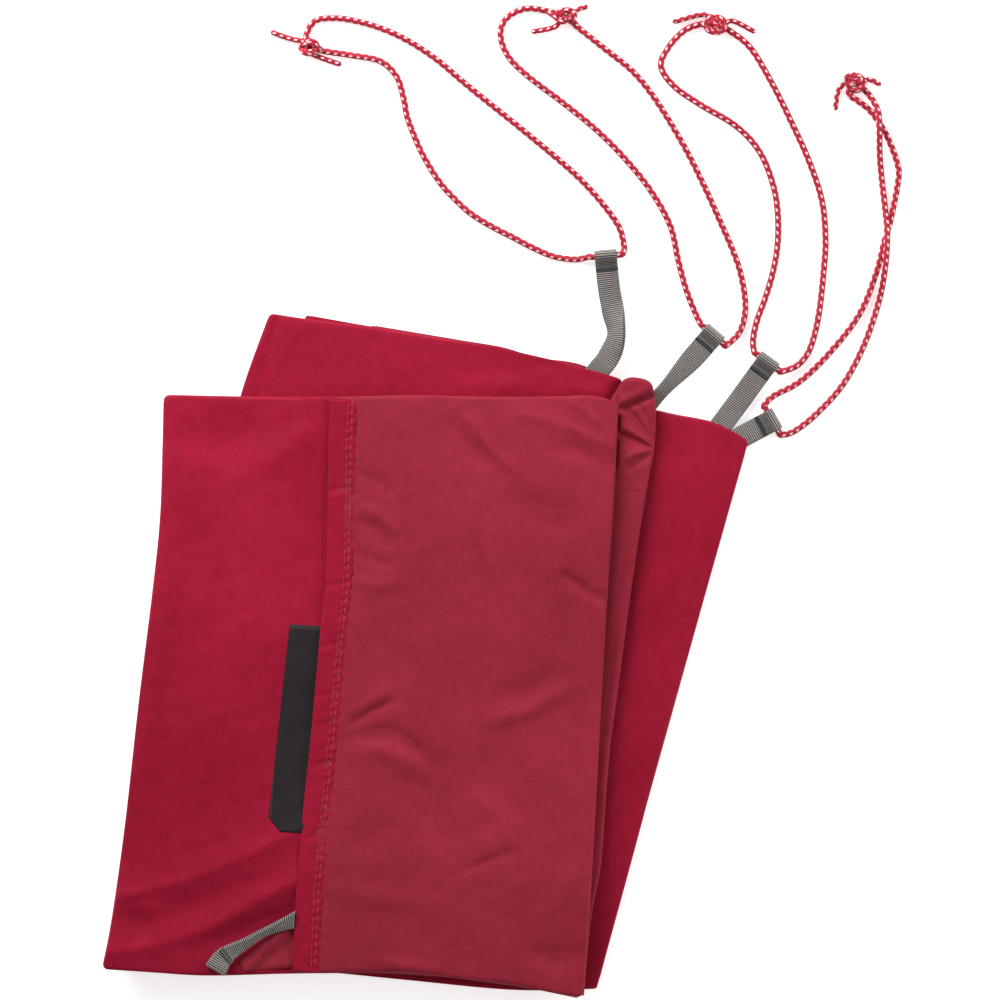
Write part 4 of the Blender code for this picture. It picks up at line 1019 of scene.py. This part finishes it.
tabs = {
    1: Tab(lower.at(-69.0, 251.9), lower.across,
           path=[(0, 0), (4.6, 6.0), (7.7, 15.0), (6.4, 25.0), (4.5, 36.0), (3.1, 51.0)],
           bases=(4.5, 0.05), drop=0.4, twist=45.0, twist_at=0.34, twist_span=0.26, mitred=0.0),
    2: Tab(upper.at(16.9, 254.4), -upper.up, path=[(0, 0), (8.3, 9.0), (16.6, 18.1), (24.6, 27.4)],
           bases=(1.5, 0.05), drop=0.5, twist=-18.0, twist_at=0.05, twist_span=0.6, pinch=0.4, mitred=0.0),
    3: Tab(lower.at(-12.7, 244.3), lower.across, path=[(0, 0), (7.0, 9.4), (13.9, 18.9), (20.6, 28.1)],
           bases=(1.5, 0.05), drop=0.5, mitred=0.0),
    4: Tab(lower.at(-2.4, 242.1), 6.9 * lower.across - 3.8 * lower.up,
           path=[(0, 0), (4.6, 2.5), (9.3, 5.0), (13.9, 7.6)],
           bases=(1.5, 0.05), drop=0.5, mitred=0.0),
}
for number, tab in tabs.items():
    sewn_tab(number, tab, 4.0, 5.0)

empty_run = [x * upper.across + y * upper.up
             for x, y in ((0, 0), (-12.4, -6.1), (-19.0, -10.6), (-27.6, -16.6), (-31.5, -23.0))]
empty_tab = Tab(upper.at(-123.0, 25.7), upper.up, empty_run, bases=(14.3, 15.0), drop=0.5, twist=35.0, twist_at=0.36,
                twist_span=0.7, pinch=0.64, eye=0.6)
sewn_tab(5, empty_tab, 4.0, 0.6, webbing_finish)

# ---------------------------------------------------------------- cord loops
# Each loop is one length of 2.7 mm braided accessory cord, red with reflective white flecks, run through its
# tab's eye and tied end to end in an overhand knot. Route points are offsets from the eye in millimetres.

CORD = 2.7
CORD_Z = 1.5
FLECK_PITCH = 3.2

cord_finish, cord_tree, cord_place, cord_u, cord_v = finish_nodes("cord_finish")
turn_up = cord_u * (1000.0 / FLECK_PITCH) + 2.0 * cord_v
turn_down = cord_u * (1000.0 / FLECK_PITCH) - 2.0 * cord_v
off_up = turn_up - turn_up.math("ROUND")
off_down = turn_down - turn_down.math("ROUND")
from_fleck = (off_up + off_down) * (FLECK_PITCH / 2)
beside_fleck = (off_up - off_down) * (math.pi * CORD / 4)
fleck = (from_fleck - 0.7 * beside_fleck).math("ABSOLUTE").math("LESS_THAN", 0.58) \
    * beside_fleck.math("ABSOLUTE").math("LESS_THAN", 0.40)
# gap marks the narrow gaps between the braid's strands.
gap_up = off_up.math("ABSOLUTE").math("GREATER_THAN", 0.43)
gap_down = off_down.math("ABSOLUTE").math("GREATER_THAN", 0.44)
gap = gap_up.math("MAXIMUM", gap_down)
fuzz = noise(cord_tree, cord_place, 1400.0, 3.0, 0.6)
soil = noise(cord_tree, cord_place, 120.0, 2.0)
red = mixed(cord_tree, 0.6 * fuzz + 0.5 * soil - 0.05, rgb(166, 18, 44), rgb(222, 42, 70))
# The red is darkened along those gaps: painted shade between the strands.
braid = mixed(cord_tree, gap * 0.6, red, rgb(70, 14, 26))
cord_colour = mixed(cord_tree, fleck, braid, mixed(cord_tree, fuzz, rgb(214, 208, 205), rgb(248, 246, 244)))
strands = (turn_up * (4 * math.pi)).math("COSINE") * (turn_down * (4 * math.pi)).math("COSINE")
surface(cord_finish, cord_tree, cord_colour, 0.55 + 0.2 * (fuzz - 0.5) - 0.1 * fleck,
        strands * (0.05 * MM) + fuzz * (0.05 * MM) - gap * (0.05 * MM), Specular_IOR_Level=0.3)


def braided(marks, share):
    """Swell of the braid's strands over its even radius."""
    up = marks / (FLECK_PITCH * MM) + 2 * share
    down = marks / (FLECK_PITCH * MM) - 2 * share
    return 1 + 0.018 * np.cos(2 * math.pi * up) * np.cos(2 * math.pi * down)


KNOT_TURNS = 3
KNOT_LONG, KNOT_SHORT = 4.8, 3.8


def knot_strand(centre, coming, going, phase):
    """One strand of the knot: in from its side of the loop, round and through the other strand, and out."""
    into = np.array(coming) - np.array(centre)
    out = np.array(going[0]) - np.array(centre)
    first = math.atan2(into[1] / KNOT_SHORT, into[0] / KNOT_LONG)
    last = math.atan2(out[1] / KNOT_SHORT, out[0] / KNOT_LONG)
    last = first + KNOT_TURNS * 2 * math.pi + (last - first) % (2 * math.pi)
    points = [(*coming, 1.5)]
    for share in np.linspace(0.06, 0.94, 31):
        angle = first + (last - first) * share
        swing = 0.50 + 0.40 * math.cos(7 * math.pi * share + phase)
        east = centre[0] + KNOT_LONG * swing * math.cos(angle)
        north = centre[1] + KNOT_SHORT * swing * math.sin(angle)
        points.append((east, north, 3.2 + 1.7 * math.sin((angle - first) * 1.5 + phase)))
    return points + [(x, y, 1.4) for x, y in going]


def tied_loop(number, left, right, knot, tails):
    """The loop in two pieces: its braid, from the eye round by the knot and back, and the knot with its tails."""
    eye = np.array(joints[f"cord_{number}_swing"]["pos_m"]) / MM
    ahead = tabs[number].frame(tabs[number].length - 2.5)[1]
    axis = np.array([ahead[1], -ahead[0], 0.0])

    def branch(side, steps):
        """One side of the loop: out of the eye, clear of the webbing, and along its route."""
        away = eye + axis * side * 7.1 + ahead * 0.2 - np.array([0, 0, 0.1])
        laid = [eye + axis * side * 0.4, eye + axis * side * 5.7, away]
        for east, north, *lift in steps:
            laid.append(np.array([eye[0] + east, eye[1] + north, CORD_Z + (lift[0] if lift else 0.0)]))
        return laid

    middle = np.array([eye[0] + knot[0], eye[1] + knot[1], 2.6])
    line = smooth_line(branch(1, right) + [middle] + branch(-1, left)[::-1], 0.45)
    line[:, 2] = np.maximum(line[:, 2], CORD_Z)
    loop = skin(f"cord_loop_{number}", [round_skin(line * MM, CORD / 2 * MM, 20, braided)])
    loop.data.materials.append(cord_finish)
    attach(loop, f"cord_body_{number}")
    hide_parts(f"cord_{number}")
    near_left, near_right = left[-1][:2], right[-1][:2]
    strands = []
    for k, (coming, going) in enumerate(((near_left, tails[0]), (near_right, tails[1]))):
        run = smooth_line([eye * (1, 1, 0) + p for p in knot_strand(knot, coming, going, k * math.pi)], 0.4)
        run[:, 2] = np.maximum(run[:, 2], 1.35)
        from_end = np.minimum(np.arange(len(run)), np.arange(len(run))[::-1])
        ends = np.minimum(1.0, 0.25 + from_end * 0.45)
        strands.append(round_skin(run * MM, 1.15 * MM * ends, 16, braided))
    tied = skin(f"knot_tied_{number}", strands)
    tied.data.materials.append(cord_finish)
    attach(tied, f"cord_body_{number}")
    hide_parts(f"knot_{number}")


tied_loop(
    1,
    left=[(-13, -1.5), (-22, -0.2), (-31, 3.6), (-39, 7.8), (-48, 12.4), (-57, 18), (-65, 25.4), (-71, 32.6),
          (-77, 42.6), (-81, 51.5), (-83.7, 59), (-85, 66), (-88, 75.4), (-95, 82), (-107, 84.4), (-119.5, 86.4)],
    right=[(7.6, 4.4), (5.4, 12.4), (-0.8, 21.2), (-8.5, 30), (-17, 38), (-35, 53), (-52, 66.6), (-61, 74),
           (-70, 81.7), (-79, 88), (-88, 93), (-97, 96.6), (-106, 99), (-114, 100), (-122, 99), (-125.8, 93.6)],
    knot=(-125.5, 88.4),
    tails=[[(-133, 91.5), (-141, 94.3)], [(-120.5, 83.6), (-111.2, 80.4)]],
)
tied_loop(
    2,
    left=[(-7.6, 9.6), (-11.4, 19.5), (-14.6, 31.3), (-18, 46), (-26, 60.4), (-36.6, 73.7), (-49, 86.2),
          (-63, 97.6), (-77.4, 108.5), (-86, 117), (-89.4, 126), (-87, 133), (-79, 137.2), (-69.6, 136.2)],
    right=[(11.4, 1.6), (13.6, 12), (11.7, 25.4), (8.3, 35.5), (4, 45.5), (-5, 65.3), (-13.5, 81.7), (-24.4, 99.3),
           (-34, 111), (-46, 120.7), (-56.4, 129)],
    knot=(-61.8, 133.3),
    tails=[[(-66.5, 129.6), (-76.5, 127.4)], [(-57.5, 136.4), (-52.5, 138.4)]],
)
tied_loop(
    3,
    left=[(-6, 9.6), (-4.4, 17.3), (-1.2, 26.1), (1.8, 35.8), (4, 47), (4.5, 60), (2.6, 73.8), (-3.3, 88.5),
          (-13.3, 99.4), (-28, 108.2), (-39.4, 116.2), (-44.8, 124.6), (-41.5, 132.6), (-35, 139.4), (-27.6, 142.2)],
    right=[(13, -1), (18, 6), (21.5, 19.6), (23.6, 38), (24.4, 52), (22.8, 68.3), (17.3, 85), (9.8, 101.5),
           (1.8, 117.5), (-7, 132), (-15.4, 139)],
    knot=(-21.7, 141.8),
    tails=[[(-27, 146.2), (-40, 143)], [(-15, 143.6), (-5, 138.8)]],
)
tied_loop(
    4,
    left=[(0.8, 10.4), (12, 16.6), (24.7, 29), (36.9, 45), (44, 62.6), (47.4, 76), (49.8, 84), (52.8, 99),
          (53, 107), (48.2, 120), (41.7, 129.8), (36.4, 134.2), (32.4, 137.4)],
    right=[(9.2, -4.6), (18.4, 2.5), (29.7, 15), (38.6, 31.5), (44.9, 50), (47.4, 64, 3.4), (48.3, 78, 3.4),
           (47.6, 88, 1.4), (46.1, 101.7), (45.2, 112, 1.4), (45, 121.8, 3.4), (44.4, 130, 3.0), (40.4, 137.4, 1.0)],
    knot=(34.4, 142.0),
    tails=[[(28.2, 139.4), (26.5, 130.4)], [(40.5, 143.4), (46, 141.2)]],
)

# ---------------------------------------------------------------- the light tent
# A white table in a white tent: soft light from all round, with one large panel beyond the far left corner
# that shows up the folds, a weaker one at the right, and almost no shadow. The table can be seen through
# from below.

table_finish = bpy.data.materials.new("table_finish")
table_finish.use_nodes = True
table_tree = table_finish.node_tree
table_shader = table_tree.nodes["Principled BSDF"]
for socket, value in (("Base Color", (0.86, 0.86, 0.86, 1.0)), ("Roughness", 0.9),
                      ("Emission Color", (1.0, 1.0, 1.0, 1.0)), ("Emission Strength", 0.62)):
    table_shader.inputs[socket].default_value = value
from_below = Wire.node(table_tree, "ShaderNodeNewGeometry", {}, {}, "Backfacing")
clear = Wire.node(table_tree, "ShaderNodeBsdfTransparent", {}, {})
one_sided = Wire.node(table_tree, "ShaderNodeMixShader", {},
                      {0: from_below, 1: Wire(table_tree, table_shader.outputs[0]), 2: clear})
table_tree.links.new(one_sided.socket, table_tree.nodes["Material Output"].inputs["Surface"])
TABLE_Z = -0.2 * MM
table_corners = np.array([[(x, y, TABLE_Z) for x in (-3.0, 3.0)] for y in (-3.0, 3.0)])
table_top = skin("table_top", [(table_corners, np.zeros((2, 2, 2)), False)])
table_top.data.materials.append(table_finish)

tent = bpy.data.worlds.new("tent")
tent.use_nodes = True
glow = tent.node_tree.nodes["Background"]
glow.inputs["Color"].default_value = (1.0, 1.0, 1.0, 1.0)
glow.inputs["Strength"].default_value = 0.24
bpy.context.scene.world = tent


def soft_panel(name, spot, size, power):
    """A soft light of that width and height in metres and power in watts, turned to the packet."""
    lamp = bpy.data.lights.new(name, "AREA")
    lamp.shape = "RECTANGLE"
    lamp.size, lamp.size_y = size
    lamp.energy = power
    panel = bpy.data.objects.new(name, lamp)
    bpy.context.scene.collection.objects.link(panel)
    panel.location = spot
    panel.rotation_euler = (-Vector(spot)).to_track_quat("-Z", "Y").to_euler()
    return panel


key_light = soft_panel("light_far_left", (-0.45, 0.8, 0.56), (0.8, 0.6), 15.5)
fill_light = soft_panel("light_right", (1.0, 0.0, 0.5), (1.0, 0.6), 6.5)
bpy.context.scene.view_settings.view_transform = "Standard"
